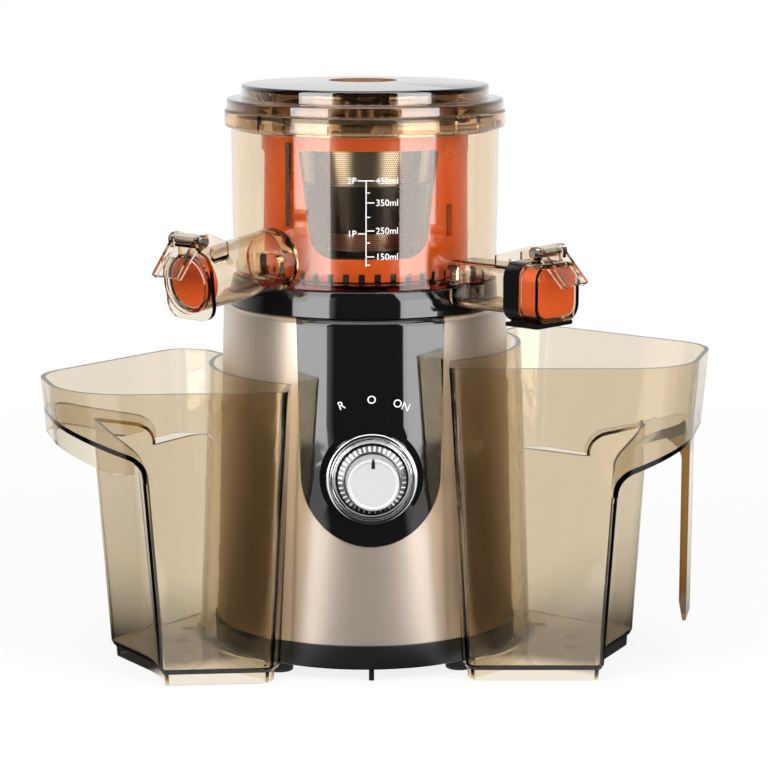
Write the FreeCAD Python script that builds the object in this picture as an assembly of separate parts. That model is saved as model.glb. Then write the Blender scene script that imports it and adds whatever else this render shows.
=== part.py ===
import FreeCAD, Part
import os
from math import acos, atan2, cos, degrees, hypot, pi, radians, sin, tan

# Cold press juicer with two collecting cups, in millimetres.
# Origin: on the axis of the body, on the worktop. +Z up, the control knob faces -Y.

# Base and housing
foot_height = 5.8
foot_r = 7.0
foot_in_x = 32.0
foot_in_y = 25.0
foot_recess_r = 3.0
foot_recess_depth = 2.4
base_r = 77.0
base_band_height = 12.1
base_floor = 3.0
base_wall = 3.6
lip_height = 3.0
peg_width = 2.5
housing_height = 160.5
housing_step = 1.0
housing_taper = 4.4
housing_wall = 2.4
shoulder_round = 3.0
ledge_width = 25.6
screw_r = 1.5
screw_head_r = 3.0
screw_head_height = 1.8
case_screw_count = 4
case_screw_in = 8.6
case_screw_turn = 20.0
vent_count = 10

# Fits
fit_gap = 0.05
part_gap = 0.15
moving_gap = 0.4

# Control panel and knob
panel_proud = 0.8
panel_thickness = 2.4
panel_half_width_top = 36.0
panel_half_width = 34.2
panel_lip = 3.0
knob_z = 101.6
bezel_r = 22.4
bezel_inner_r = 17.4
bezel_proud = 1.0
well_depth = 14.0
well_thickness = 2.0
skirt_r = 16.9
skirt_proud = 2.5
knurl_count = 40
knurl_depth = 0.7
cap_r = 13.1
cap_proud = 13.5
spindle_r = 3.0
bush_r = 4.9
switch_side = 25.0
switch_depth = 15.0

# Mains inlet at the rear
gland_z = 32.0
gland_bore_r = 3.6
gland_r = 6.0
gland_flange_r = 8.5
gland_length = 14.0

# Top deck and shaft seal
deck_height = 13.3
deck_step = 3.1
deck_taper = 0.5
deck_wall = 2.6
deck_recess = 4.0
deck_plate = 3.0
recess_in = 5.5
deck_screw_in = 16.0
seal_r = 12.0
lug_width = 10.0
lug_height = 3.0
lug_length = 5.5

# Gear motor
motor_y = -6.0
stator_r = 38.0
stator_bottom = 44.0
stator_height = 40.0
bore_r = 19.4
air_gap = 0.4
winding_height = 9.0
bracket_depth = 18.0
bracket_wall = 3.0
shaft_r = 4.0
bearing_r = 8.0
bearing_height = 5.0
fan_r = 30.0
fan_height = 9.0
fan_blades = 9
pressure_angle = radians(25)
backlash = 0.16
module_1 = 1.0
pinion_teeth = 12
wheel_teeth = 60
module_2 = 1.25
second_pinion_teeth = 12
output_teeth = 36
gear_face = 7.0
output_face = 12.0
axle_r = 3.0
gearbox_r = 65.0
gearbox_wall = 2.5
gearbox_height = 38.0
gearbox_front_y = -42.0
post_r = 3.5
post_places = [(41.0, 41.0), (-41.0, 41.0), (48.0, -28.0), (-48.0, -28.0)]
drive_r = 6.0
hex_flats = 10.0
hex_height = 22.3
bearing_length = 15.0

# Juicing bowl
bowl_step = 1.6
bowl_flare = 1.0
bowl_wall = 2.4
bowl_floor = 2.3
flange_width = 3.2
flange_height = 8.5
bowl_height = 84.2
hub_r = 14.0
hub_rise = 0.6
hub_drop = 2.7
journal_r = 9.0
bowl_seal_r = 12.0
foot_ring_wall = 4.1

# Spouts, each drawn along +X and then turned about Z
juice_turn = -45.0
pulp_turn = -135.0
juice_axis_rise = 2.3
juice_width = 25.4
juice_height = 23.0
juice_round = 6.0
juice_wall = 2.2
juice_length = 47.4
juice_hole_width = 18.0
juice_hole_height = 9.4
collar_length = 9.2
collar_back = 0.6
collar_border = 3.1
collar_lip = 9.8
pulp_axis_rise = 13.8
pulp_tilt = 6.1
pulp_r_root = 15.6
pulp_r_end = 14.2
pulp_wall = 2.0
pulp_length = 55.4
pulp_hole_width = 16.0
pulp_hole_height = 12.0
hinge_pin_r = 1.6
barrel_r = 3.2
barrel_half = 8.6
ear_thickness = 2.4
cap_width = 32.0
cap_height = 28.4
cap_depth = 11.0
cap_wall = 2.0
flap_width = 31.0
flap_height = 33.0
flap_thickness = 2.5
plug_gap = 0.5
lever_reach = 18.5
lever_drop = 13.5
lever_thickness = 2.0

# Drive to the brush
module_3 = 2.0
sun_teeth = 12
idler_teeth = 16
ring_teeth = 44
brush_gear_face = 6.6
idler_pin_r = 3.0

# Strainer, brush and auger
screen_r_bottom = 28.0
screen_r_top = 34.4
screen_top_drop = 13.9
screen_thickness = 0.8
band_thickness = 2.2
band_rise = 22.0
band_height = 23.5
funnel_r = 48.0
funnel_drop = 9.9
strainer_base = 2.2
skirt_inner_r = 24.5
skirt_wall = 2.4
rib_count = 4
brush_r = 52.0
brush_wall = 2.2
brush_bottom_gap = 0.4
brush_ring_height = 10.3
brush_top_drop = 10.7
notch_count = 42
notch_width = 3.2
notch_height = 4.0
blade_rise = 27.0
blade_width = 6.0
blade_thickness = 1.8
holder_rise = 27.0
holder_height = 24.0
slot_rise = 21.0
slot_height = 16.0
slot_width = 4.5
window_half_top = 34.0
window_half_bottom = 27.5
window_top_drop = 6.7
auger_root_r = 15.0
auger_neck_r = 9.5
auger_pin_r = 4.0
auger_top_drop = 17.9
pin_rise = 3.1
flight_turns = 2.25
flight_gap = 1.6
flight_root = 4.4
flight_tip = 2.0
flight_steps_per_turn = 20

# Lid
lid_lower_step = 0.9
lid_lower_height = 5.5
lid_upper_step = 7.4
lid_upper_height = 7.0
lid_wall = 3.0
skirt_depth = 9.9
lid_skirt_wall = 2.4
mouth_r = 17.5
mouth_y = 26.8
sleeve_wall = 2.0
sleeve_drop = 7.9
lid_boss_r = 8.5
lid_bush_r = 6.0
lid_bush_length = 9.0
bayonet_lugs = 4
bayonet_angle = 20.0
bayonet_lug_span = 13.0
bayonet_depth = 2.0
bayonet_height = 3.2
gasket_height = 2.6
gasket_width = 1.7

# Collecting cups, drawn on the right; reaches in x are measured outwards from the base's radius
cup_wall = 2.4
cup_gap_foot = 6.0
cup_gap_rim = 1.0
cup_foot_height = 6.0
cup_foot_inset = 2.2
cup_floor_thickness = 2.4
cup_front_foot = 3.0
cup_front_rim = 14.5
cup_front_slope = 0.0417
cup_pad_r = 3.5
shelf_slope = radians(20.5)
shelf_round = 12.0
cup_skirt = 10.0
juice_cup_rim_z = 158.0
juice_shelf_z = 103.0
juice_near_foot = -29.0
juice_near_rim = -41.0
juice_outer_foot = 36.5
juice_outer_rim = 45.0
juice_back_foot = 62.5
juice_back_foot_y = -9.0
juice_back_rim = 73.0
juice_back_rim_y = -2.0
juice_mouth_front = 75.0
juice_mouth_side = 98.0
juice_mouth_side_y = -22.0
pulp_cup_rim_z = 147.0
pulp_shelf_z = 112.0
pulp_near_foot = -27.0
pulp_near_rim = -35.5
pulp_outer_foot = 26.0
pulp_outer_rim = 35.8
pulp_back_foot = 54.5
pulp_back_foot_y = -20.0
pulp_back_rim = 63.6
pulp_back_rim_y = -30.6
pulp_mouth_front = 71.0
pulp_mouth_side = 88.0
pulp_mouth_side_y = -30.0
handle_width = 23.0
handle_thickness = 3.6
handle_bottom_z = 24.0
handle_reach = 83.7
handle_y = -46.0
handle_turn = -14.0

Vec = FreeCAD.Vector
X_AXIS = Vec(1, 0, 0)
Y_AXIS = Vec(0, 1, 0)
Z_AXIS = Vec(0, 0, 1)
ORIGIN = Vec(0, 0, 0)

os.makedirs("parts", exist_ok=True)

# Radii that follow from the base's radius
housing_r_bottom = base_r - housing_step
housing_r_top = housing_r_bottom - housing_taper
ledge_r = housing_r_top - ledge_width
case_screw_ring_r = base_r - case_screw_in
foot_x = base_r - foot_in_x
foot_y = base_r - foot_in_y
deck_r_bottom = housing_r_top - deck_step
deck_r_top = deck_r_bottom - deck_taper
recess_r = deck_r_top - recess_in
deck_screw_ring_r = deck_r_top - deck_screw_in
bowl_r_bottom = deck_r_top - bowl_step
bowl_r_top = bowl_r_bottom + bowl_flare
flange_r = bowl_r_top + flange_width
lid_lower_r = flange_r - lid_lower_step
lid_upper_r = lid_lower_r - lid_upper_step
bezel_front_y = -base_r - bezel_proud
well_y = bezel_front_y + well_depth
skirt_front_y = bezel_front_y - skirt_proud
cap_front_y = bezel_front_y - cap_proud
juice_end = bowl_r_bottom + juice_length
collar_end = juice_end - collar_back
collar_start = collar_end - collar_length
collar_lip_end = collar_end + collar_lip
pulp_end = bowl_r_bottom + pulp_length

# Heights that several pieces share
plate_top_z = foot_height + base_floor
band_top_z = foot_height + base_band_height
housing_top_z = band_top_z + housing_height
deck_top_z = housing_top_z + deck_height
deck_plate_top_z = deck_top_z - deck_recess
deck_plate_low_z = deck_plate_top_z - deck_plate
bowl_floor_z = deck_top_z + bowl_floor
hub_top_z = bowl_floor_z + hub_rise
hub_low_z = deck_top_z - hub_drop
hex_top_z = deck_top_z + hex_height
rim_z = deck_top_z + bowl_height
flange_low_z = rim_z - flange_height
lid_top_z = rim_z + lid_lower_height + lid_upper_height
sleeve_bottom_z = rim_z - sleeve_drop
pin_top_z = rim_z + pin_rise
auger_top_z = rim_z - auger_top_drop
brush_top_z = rim_z - brush_top_drop
screen_top_z = rim_z - screen_top_drop
funnel_top_z = rim_z - funnel_drop
brush_gear_z = hub_top_z + 0.6
brush_gear_top_z = brush_gear_z + brush_gear_face
screen_bottom_z = brush_gear_top_z + 0.2 + strainer_base
band_low_z = bowl_floor_z + band_rise
band_high_z = band_low_z + band_height
juice_axis_z = deck_top_z + juice_axis_rise
pulp_axis_z = deck_top_z + pulp_axis_rise
hinge_z_juice = juice_axis_z + juice_height / 2 + 7.5
hinge_x_juice = juice_end + 4.2
hinge_z_pulp = pulp_axis_z + pulp_r_end + 6.1
hinge_x_pulp = pulp_end - 0.8
stator_top_z = stator_bottom + stator_height
lower_bracket_z = stator_bottom - bracket_depth
gearbox_z = stator_top_z + bracket_depth
gearbox_top_z = gearbox_z + gearbox_height
cover_top_z = gearbox_top_z + bracket_wall
wheel_y = motor_y + module_1 * (pinion_teeth + wheel_teeth) / 2
wheel_z = gearbox_z + bracket_wall + 3.0
second_pinion_z = wheel_z + gear_face
output_gear_z = second_pinion_z + 3.0
idler_y = module_3 * (sun_teeth + idler_teeth) / 2


def housing_radius(z):
    """Outer radius of the tapered housing at a height."""
    share = (z - band_top_z) / housing_height
    return housing_r_bottom + share * (housing_r_top - housing_r_bottom)


def bowl_radius(z):
    """Outer radius of the bowl's wall at a height."""
    share = (z - deck_top_z) / (rim_z - flange_height - deck_top_z)
    return bowl_r_bottom + share * (bowl_r_top - bowl_r_bottom)


def screen_radius(z):
    """Outer radius of the strainer's screen at a height."""
    share = (z - screen_bottom_z) / (screen_top_z - screen_bottom_z)
    return screen_r_bottom + share * (screen_r_top - screen_r_bottom)


def rounded_wire(corners, place):
    """Closed outline through corners (u, v, radius), each rounded by its own radius."""
    count = len(corners)
    ends = []
    for i in range(count):
        corner = Vec(corners[i][0], corners[i][1], 0)
        radius = corners[i][2] if len(corners[i]) > 2 else 0
        back = Vec(corners[i - 1][0], corners[i - 1][1], 0) - corner
        ahead = Vec(corners[(i + 1) % count][0], corners[(i + 1) % count][1], 0) - corner
        back.normalize()
        ahead.normalize()
        if radius == 0:
            ends.append((corner, None, corner))
            continue
        half = back.getAngle(ahead) / 2
        inward = back + ahead
        inward.normalize()
        reach = radius / tan(half)
        middle = corner + inward * (radius / sin(half) - radius)
        ends.append((corner + back * reach, middle, corner + ahead * reach))
    edges = []
    for i in range(count):
        start, middle, stop = ends[i]
        previous = ends[i - 1][2]
        if (start - previous).Length > 1e-6:
            edges.append(Part.LineSegment(place(previous), place(start)).toShape())
        if middle is not None:
            edges.append(Part.Arc(place(start), place(middle), place(stop)).toShape())
    return Part.Wire(edges)


def on_plan(p):
    return Vec(p.x, p.y, 0)


def on_side(p):
    return Vec(p.x, 0, p.y)


def on_end(p):
    return Vec(0, p.x, p.y)


def turned(corners):
    """Body of revolution about Z from a profile of (radius, height) corners."""
    face = Part.Face(rounded_wire(corners, on_side))
    return face.revolve(ORIGIN, Z_AXIS, 360)


def turned_to_front(corners):
    """Body of revolution about the knob's axis from (radius, y) corners."""
    shape = turned([(c[0], -c[1]) + tuple(c[2:]) for c in corners])
    shape.rotate(ORIGIN, X_AXIS, 90)
    shape.translate(Vec(0, 0, knob_z))
    return shape


def disc(radius, bottom, top, x=0, y=0):
    return Part.makeCylinder(radius, top - bottom, Vec(x, y, bottom))


def ring(outer, inner, bottom, top, x=0, y=0):
    return disc(outer, bottom, top, x, y).cut(disc(inner, bottom, top, x, y))


def block(x0, x1, y0, y1, z0, z1):
    return Part.makeBox(x1 - x0, y1 - y0, z1 - z0, Vec(x0, y0, z0))


def prism(corners, bottom, top):
    """Upright prism over an outline drawn in plan."""
    face = Part.Face(rounded_wire(corners, on_plan))
    face.translate(Vec(0, 0, bottom))
    return face.extrude(Vec(0, 0, top - bottom))


def side_prism(corners, y0, y1):
    """Prism along Y over an outline of (x, z) corners."""
    face = Part.Face(rounded_wire(corners, on_side))
    face.translate(Vec(0, y0, 0))
    return face.extrude(Vec(0, y1 - y0, 0))


def end_block(width, height, radius, centre_z, x0, x1):
    """Round-cornered bar along X, centred on y = 0."""
    half_w = width / 2
    half_h = height / 2
    corners = [
        (-half_w, centre_z - half_h, radius),
        (half_w, centre_z - half_h, radius),
        (half_w, centre_z + half_h, radius),
        (-half_w, centre_z + half_h, radius),
    ]
    face = Part.Face(rounded_wire(corners, on_end))
    face.translate(Vec(x0, 0, 0))
    return face.extrude(Vec(x1 - x0, 0, 0))


def along_x(radius, x0, x1, y, z):
    return Part.makeCylinder(radius, x1 - x0, Vec(x0, y, z), X_AXIS)


def along_y(radius, y0, y1, x, z):
    return Part.makeCylinder(radius, y1 - y0, Vec(x, y0, z), Y_AXIS)


def spun(shape, angle, centre=ORIGIN, axis=Z_AXIS):
    copy = shape.copy()
    copy.rotate(centre, axis, angle)
    return copy


def shifted(shape, x, y, z):
    copy = shape.copy()
    copy.translate(Vec(x, y, z))
    return copy


def around(shape, count, first=0.0):
    """Copies of a shape spaced evenly about Z."""
    return [spun(shape, first + 360.0 * i / count) for i in range(count)]


def fused(shapes):
    return shapes[0].multiFuse(shapes[1:]).removeSplitter()


def hexagon(flats, bottom, top):
    corner_r = flats / 2 / cos(pi / 6)
    corners = [(corner_r * cos(radians(60 * i)), corner_r * sin(radians(60 * i))) for i in range(6)]
    return prism(corners, bottom, top)


def involute(angle):
    return tan(angle) - angle


def gear_outline(module, teeth, tip_r, root_r, slack, turn):
    """Toothed outline with involute flanks. turn is the direction of one tooth's centre."""
    pitch_r = module * teeth / 2
    circle_r = pitch_r * cos(pressure_angle)
    half_pitch = pi / (2 * teeth) - slack / (2 * pitch_r) + involute(pressure_angle)
    start_r = max(circle_r, root_r)
    flank = []
    if root_r < circle_r:
        flank.append((root_r, half_pitch))
    for share in (0.0, 0.5, 1.0):
        r = start_r + share * (tip_r - start_r)
        flank.append((r, half_pitch - involute(acos(min(1.0, circle_r / r)))))
    points = []
    for i in range(teeth):
        middle = radians(turn) + 2 * pi * i / teeth
        points += [(r, middle - half) for r, half in flank]
        points += [(r, middle + half) for r, half in reversed(flank)]
    return [(r * cos(a), r * sin(a)) for r, a in points]


def spur_gear(module, teeth, bottom, top, turn, x=0, y=0):
    pitch_r = module * teeth / 2
    outline = gear_outline(module, teeth, pitch_r + module, pitch_r - 1.25 * module, backlash, turn)
    return shifted(prism(outline, bottom, top), x, y, 0)


def to_juice_spout(shape):
    return spun(shape, juice_turn)


def to_pulp_spout(shape):
    """Tilt a shape drawn on a level tube and turn it to the pulp side."""
    tilted = spun(shape, pulp_tilt, Vec(bowl_r_bottom, 0, pulp_axis_z), Y_AXIS)
    return spun(tilted, pulp_turn)


mouth_wall_r = bowl_radius(flange_low_z) - bowl_wall


def case_screw_columns(radius, bottom, top):
    column = disc(radius, bottom, top, case_screw_ring_r, 0)
    return around(column, case_screw_count, case_screw_turn)


def base_plate():
    body = turned([
        (0, foot_height),
        (base_r, foot_height, 1.0),
        (base_r, band_top_z, 0.5),
        (housing_r_bottom - housing_wall - moving_gap, band_top_z),
        (housing_r_bottom - housing_wall - moving_gap, band_top_z + lip_height),
        (base_r - base_wall - 3.0, band_top_z + lip_height),
        (base_r - base_wall - 3.0, plate_top_z),
        (0, plate_top_z),
    ])
    vent = block(14, 36, -2, 2, foot_height - 1, plate_top_z + 1)
    vents = [shifted(v, 0, motor_y, 0) for v in around(vent, vent_count)]
    holes = case_screw_columns(screw_r + part_gap, foot_height - 1, plate_top_z + 1)
    sinks = case_screw_columns(screw_head_r + part_gap, foot_height - 1, foot_height + screw_head_height)
    body = body.cut(vents + holes + sinks)
    peg = block(-peg_width / 2, peg_width / 2, 2 - base_r, 4 - base_r, 0, foot_height)
    slot = block(-55, -49, -12, 12, plate_top_z, plate_top_z + 10)
    slot = slot.cut(block(-52.9, -51.1, -13, 13, plate_top_z + 5, plate_top_z + 11))
    cradle = ring(14.5, 12.1, plate_top_z, plate_top_z + 8, 52, 0)
    return fused([body, peg, slot, cradle])


def rubber_feet():
    foot = turned([
        (0, 0),
        (foot_r, 0, 0.8),
        (foot_r - 0.5, foot_height),
        (0, foot_height),
    ]).cut(disc(foot_recess_r, 0, foot_recess_depth))
    return [shifted(foot, x, y, 0) for x in (-foot_x, foot_x) for y in (-foot_y, foot_y)]


def base_screws():
    heads = case_screw_columns(screw_head_r, foot_height, foot_height + screw_head_height)
    shanks = case_screw_columns(screw_r, foot_height + screw_head_height, 38)
    return [fused([h, s]) for h, s in zip(heads, shanks)]


def panel_outline(extra):
    """The control panel's front view: straight-sided at the top and round below the knob."""
    low = panel_half_width + extra
    high = panel_half_width_top + extra
    left = Vec(-low, 0, knob_z)
    right = Vec(low, 0, knob_z)
    bottom = Vec(0, 0, knob_z - low)
    top_left = Vec(-high, 0, housing_top_z + 1)
    top_right = Vec(high, 0, housing_top_z + 1)
    return Part.Wire([
        Part.LineSegment(top_left, left).toShape(),
        Part.Arc(left, bottom, right).toShape(),
        Part.LineSegment(right, top_right).toShape(),
        Part.LineSegment(top_right, top_left).toShape(),
    ])


def panel_prism(extra):
    face = Part.Face(panel_outline(extra))
    face.translate(Vec(0, -base_r - 20, 0))
    return face.extrude(Vec(0, 50, 0))


def housing_band(outward, inward, low_z, high_z):
    """Wall that follows the housing's taper, from outward outside to inward inside."""
    return turned([
        (housing_radius(low_z) - inward, low_z),
        (housing_radius(low_z) + outward, low_z),
        (housing_radius(high_z) + outward, high_z, shoulder_round),
        (housing_radius(high_z) - inward, high_z),
    ])


def motor_housing():
    inner_top_z = housing_top_z - housing_wall
    body = turned([
        (housing_r_bottom - housing_wall, band_top_z),
        (housing_r_bottom, band_top_z),
        (housing_r_top, housing_top_z, shoulder_round),
        (ledge_r, housing_top_z),
        (ledge_r, inner_top_z),
        (housing_radius(inner_top_z) - housing_wall, inner_top_z),
    ])
    columns = case_screw_columns(5.6, band_top_z + lip_height + 0.3, 42)
    keep = disc(housing_radius(42) - 0.5, band_top_z, 60)
    body = fused([body] + [c.common(keep) for c in columns])
    holes = case_screw_columns(screw_r, band_top_z, 38)
    deck_hole = disc(screw_r, inner_top_z - 1, housing_top_z + 1, deck_screw_ring_r, 0)
    window = panel_prism(part_gap)
    seat_y = housing_radius(gland_z) - 0.7
    inlet = along_y(gland_r + fit_gap, 60, base_r + 5, 0, gland_z)
    spot = along_y(gland_flange_r + fit_gap, seat_y, base_r + 5, 0, gland_z)
    return body.cut(holes + around(deck_hole, 4) + [window, inlet, spot])


def control_panel():
    high_z = housing_top_z
    low_z = knob_z - panel_half_width - 8
    front = housing_band(panel_proud, housing_wall - part_gap, low_z, high_z).common(panel_prism(0))
    back_top = housing_top_z - housing_wall - part_gap
    back = housing_band(-housing_wall - part_gap, housing_wall + 2.2, low_z, back_top)
    back = back.common(panel_prism(panel_lip))
    link = housing_band(0, housing_wall + 1.0, low_z + 8, back_top).common(panel_prism(0))
    well_wall = along_y(bezel_r + 3.0, well_y - well_thickness - 6, well_y + well_thickness, 0, knob_z)
    body = fused([front, link, back, well_wall])
    well = along_y(bezel_r + fit_gap, -base_r - 20, well_y, 0, knob_z)
    bush_hole = along_y(bush_r + fit_gap, well_y - 1, well_y + 5, 0, knob_z)
    return body.cut([well, bush_hole])


def knob_bezel():
    middle_r = (bezel_r + bezel_inner_r) / 2
    return turned_to_front([
        (bezel_inner_r, well_y),
        (bezel_r, well_y),
        (bezel_r, bezel_front_y + 0.6, 0.9),
        (middle_r + 0.7, bezel_front_y, 0.5),
        (middle_r, bezel_front_y + 1.0, 0.2),
        (middle_r - 0.7, bezel_front_y, 0.5),
        (bezel_inner_r, bezel_front_y + 0.6, 0.9),
    ])


def rotary_switch():
    back_y = well_y + well_thickness
    half = switch_side / 2
    body = block(-half, half, back_y, back_y + switch_depth, knob_z - half, knob_z + half)
    bush = along_y(bush_r, well_y - 3, back_y, 0, knob_z)
    nut = hexagon(13.0, 0, 2.2)
    nut.rotate(ORIGIN, X_AXIS, 90)
    nut.translate(Vec(0, well_y, knob_z))
    tags = [block(x - 1.5, x + 1.5, back_y + 4, back_y + 12, knob_z + half, knob_z + half + 6) for x in (-8, 0, 8)]
    body = fused([body, bush, nut] + tags)
    return body.cut(along_y(spindle_r + fit_gap, -base_r, back_y + switch_depth - 3, 0, knob_z))


def knob_skirt():
    """Knurled ring: V grooves round a short cone."""
    back_y = bezel_front_y + 3.0
    cone = turned_to_front([
        (cap_r - 3.0, back_y),
        (skirt_r, back_y),
        (skirt_r, skirt_front_y + 2.0, 0.5),
        (cap_r + 0.6, skirt_front_y, 0.4),
        (cap_r - 3.0, skirt_front_y),
    ])
    groove = side_prism([(-0.55, skirt_r + 0.4), (0, skirt_r - knurl_depth), (0.55, skirt_r + 0.4)], -base_r - 20, -base_r + 20)
    groove.translate(Vec(0, 0, knob_z))
    centre = Vec(0, 0, knob_z)
    grooves = [spun(groove, 360.0 * i / knurl_count, centre, Y_AXIS) for i in range(knurl_count)]
    return cone.cut(grooves)


def knob_cap():
    hub_back_y = well_y - 4.5
    flat_y = bezel_front_y + 3.0
    body = turned_to_front([
        (0, cap_front_y + 0.5),
        (cap_r - 2.2, cap_front_y + 0.5, 0.6),
        (cap_r - 1.6, cap_front_y, 0.4),
        (cap_r - 0.5, cap_front_y + 0.2, 0.8),
        (cap_r, skirt_front_y),
        (cap_r - 3.0, skirt_front_y),
        (cap_r - 3.0, flat_y),
        (7.0, flat_y),
        (7.0, hub_back_y),
        (0, hub_back_y),
    ])
    mark = block(-0.6, 0.6, cap_front_y - 1, cap_front_y + 1.2, knob_z + cap_r - 5.0, knob_z + cap_r + 1)
    bore = along_y(spindle_r, cap_front_y + 6, hub_back_y + 1, 0, knob_z)
    return body.cut([mark, bore])


def switch_spindle():
    back_y = well_y + well_thickness + 6
    return along_y(spindle_r, cap_front_y + 6, back_y, 0, knob_z)


def cord_gland():
    seat_y = housing_radius(gland_z) - 0.7
    body = along_y(gland_r, seat_y - 8, seat_y - 8 + gland_length, 0, gland_z)
    flange = along_y(gland_flange_r, seat_y, seat_y + 2.2, 0, gland_z)
    bore = along_y(gland_bore_r, seat_y - 20, seat_y + 20, 0, gland_z)
    return fused([body, flange]).cut(bore)


def top_deck():
    body = turned([
        (deck_r_bottom - deck_wall, housing_top_z),
        (deck_r_bottom, housing_top_z, 0.6),
        (deck_r_top, deck_top_z, 0.8),
        (recess_r, deck_top_z, 0.6),
        (recess_r, deck_plate_top_z),
        (hub_r + 4.0, deck_plate_top_z),
        (hub_r + 4.0, deck_plate_top_z + 3.0, 0.8),
        (hub_r + 1.0, deck_plate_top_z + 3.0),
        (hub_r + 1.0, deck_plate_top_z),
        (seal_r, deck_plate_top_z),
        (seal_r, deck_plate_low_z),
        (deck_r_bottom - deck_wall, deck_plate_low_z),
    ])
    boss = disc(4.0, housing_top_z, deck_plate_low_z, deck_screw_ring_r, 0)
    lug = block(recess_r - lug_length, recess_r + 1, -lug_width / 2, lug_width / 2, deck_plate_top_z, deck_plate_top_z + lug_height)
    body = fused([body] + around(boss, 4) + around(lug, 4, 45))
    hole = disc(screw_r + part_gap, housing_top_z - 1, deck_plate_top_z + 1, deck_screw_ring_r, 0)
    return body.cut(around(hole, 4))


def deck_screws():
    shank = disc(screw_r, housing_top_z - housing_wall - 3, deck_plate_top_z, deck_screw_ring_r, 0)
    head = disc(screw_head_r, deck_plate_top_z, deck_plate_top_z + screw_head_height, deck_screw_ring_r, 0)
    slot = block(-1, 1, -0.4, 0.4, 0, 5)
    slot = shifted(slot, deck_screw_ring_r, 0, deck_plate_top_z + screw_head_height - 0.8)
    return around(fused([shank, head]).cut(slot), 4)


def shaft_seal():
    return turned([
        (drive_r + fit_gap, deck_plate_low_z),
        (seal_r, deck_plate_low_z),
        (seal_r, deck_plate_top_z),
        (drive_r + 1.6, deck_plate_top_z + 0.6, 0.3),
        (drive_r + fit_gap, deck_plate_top_z + 0.2),
    ])


def motor_stator():
    """Laminated ring with slots for the field coils."""
    body = ring(stator_r, bore_r, stator_bottom, stator_top_z, 0, motor_y)
    slot = block(bore_r - 1, stator_r - 9, -3.2, 3.2, stator_bottom - 1, stator_top_z + 1)
    slots = [shifted(s, 0, motor_y, 0) for s in around(slot, 8, 22.5)]
    return body.cut(slots)


def field_windings():
    low = ring(stator_r - 6, bore_r + 3, stator_bottom - winding_height, stator_bottom, 0, motor_y)
    high = ring(stator_r - 6, bore_r + 3, stator_top_z, stator_top_z + winding_height, 0, motor_y)
    return [low, high]


def motor_bracket(plate_z, rim_z_near, hub_z):
    """End bell: a plate, a rim that meets the stator and a bearing hub, with air windows."""
    low, high = sorted((plate_z, rim_z_near))
    plate_end = plate_z + bracket_wall if plate_z < rim_z_near else plate_z - bracket_wall
    plate = disc(stator_r, *sorted((plate_z, plate_end)), 0, motor_y)
    rim = ring(stator_r, stator_r - bracket_wall, low, high, 0, motor_y)
    hub = disc(bearing_r + 3, *sorted((plate_z, hub_z)), 0, motor_y)
    body = fused([plate, rim, hub])
    seat_low, seat_high = sorted((hub_z, hub_z + (bearing_height if hub_z < plate_z else -bearing_height)))
    seat = disc(bearing_r, seat_low, seat_high, 0, motor_y)
    hole = disc(shaft_r + 1, low - 1, high + 1, 0, motor_y)
    window = block(bearing_r + 6, stator_r - 6, -5, 5, low - 1, high + 1)
    windows = [shifted(w, 0, motor_y, 0) for w in around(window, 6)]
    return body.cut([seat, hole] + windows)


def lower_motor_bracket():
    return motor_bracket(lower_bracket_z, stator_bottom, lower_bracket_z + 8)


def upper_motor_bracket():
    return motor_bracket(gearbox_z, stator_top_z, gearbox_z - 8)


def motor_bearings():
    low_z = lower_bracket_z + 8 - bearing_height
    high_z = gearbox_z - 8
    one = ring(bearing_r, shaft_r + fit_gap, low_z, low_z + bearing_height, 0, motor_y)
    return [one, shifted(one, 0, 0, high_z - low_z)]


def rotor_shaft():
    top_z = wheel_z + gear_face + 1.0
    body = disc(shaft_r, plate_top_z + 2.2, wheel_z - 1.0, 0, motor_y)
    pinion = spur_gear(module_1, pinion_teeth, wheel_z - 1.0, top_z, 90, 0, motor_y)
    return fused([body, pinion])


def rotor_core():
    return ring(bore_r - air_gap, shaft_r, stator_bottom, stator_top_z, 0, motor_y)


def cooling_fan():
    low_z = plate_top_z + 3.0
    hub = ring(8.0, shaft_r, low_z, low_z + fan_height)
    plate = ring(fan_r, shaft_r, low_z + fan_height - 1.6, low_z + fan_height)
    blade = block(7, fan_r, -0.8, 0.8, low_z, low_z + fan_height)
    blade = spun(blade, 25, Vec(7, 0, 0))
    keep = disc(fan_r, low_z, low_z + fan_height)
    blades = [b.common(keep) for b in around(blade, fan_blades)]
    return shifted(fused([hub, plate] + blades), 0, motor_y, 0)


def gearbox_slab(radius, front_y, bottom, top):
    return disc(radius, bottom, top).common(block(-radius, radius, front_y, radius, bottom, top))


def gearbox_case():
    outer = gearbox_slab(gearbox_r, gearbox_front_y, gearbox_z, gearbox_top_z)
    inner = gearbox_slab(gearbox_r - gearbox_wall, gearbox_front_y + gearbox_wall, gearbox_z + bracket_wall, gearbox_top_z)
    body = outer.cut(inner)
    columns = [disc(5.5, gearbox_z, gearbox_top_z, x, y) for x, y in post_places]
    step = disc(6.0, gearbox_z, wheel_z - 0.3, 0, wheel_y)
    body = fused([body, step] + [c.common(outer) for c in columns])
    holes = [disc(2.0 + fit_gap, gearbox_z - 1, gearbox_top_z + 1, x, y) for x, y in post_places]
    axle_hole = disc(axle_r, gearbox_z + 1, wheel_z, 0, wheel_y)
    shaft_hole = disc(bearing_r, gearbox_z - 1, gearbox_z + bracket_wall + 1, 0, motor_y)
    return body.cut(holes + [axle_hole, shaft_hole])


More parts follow.
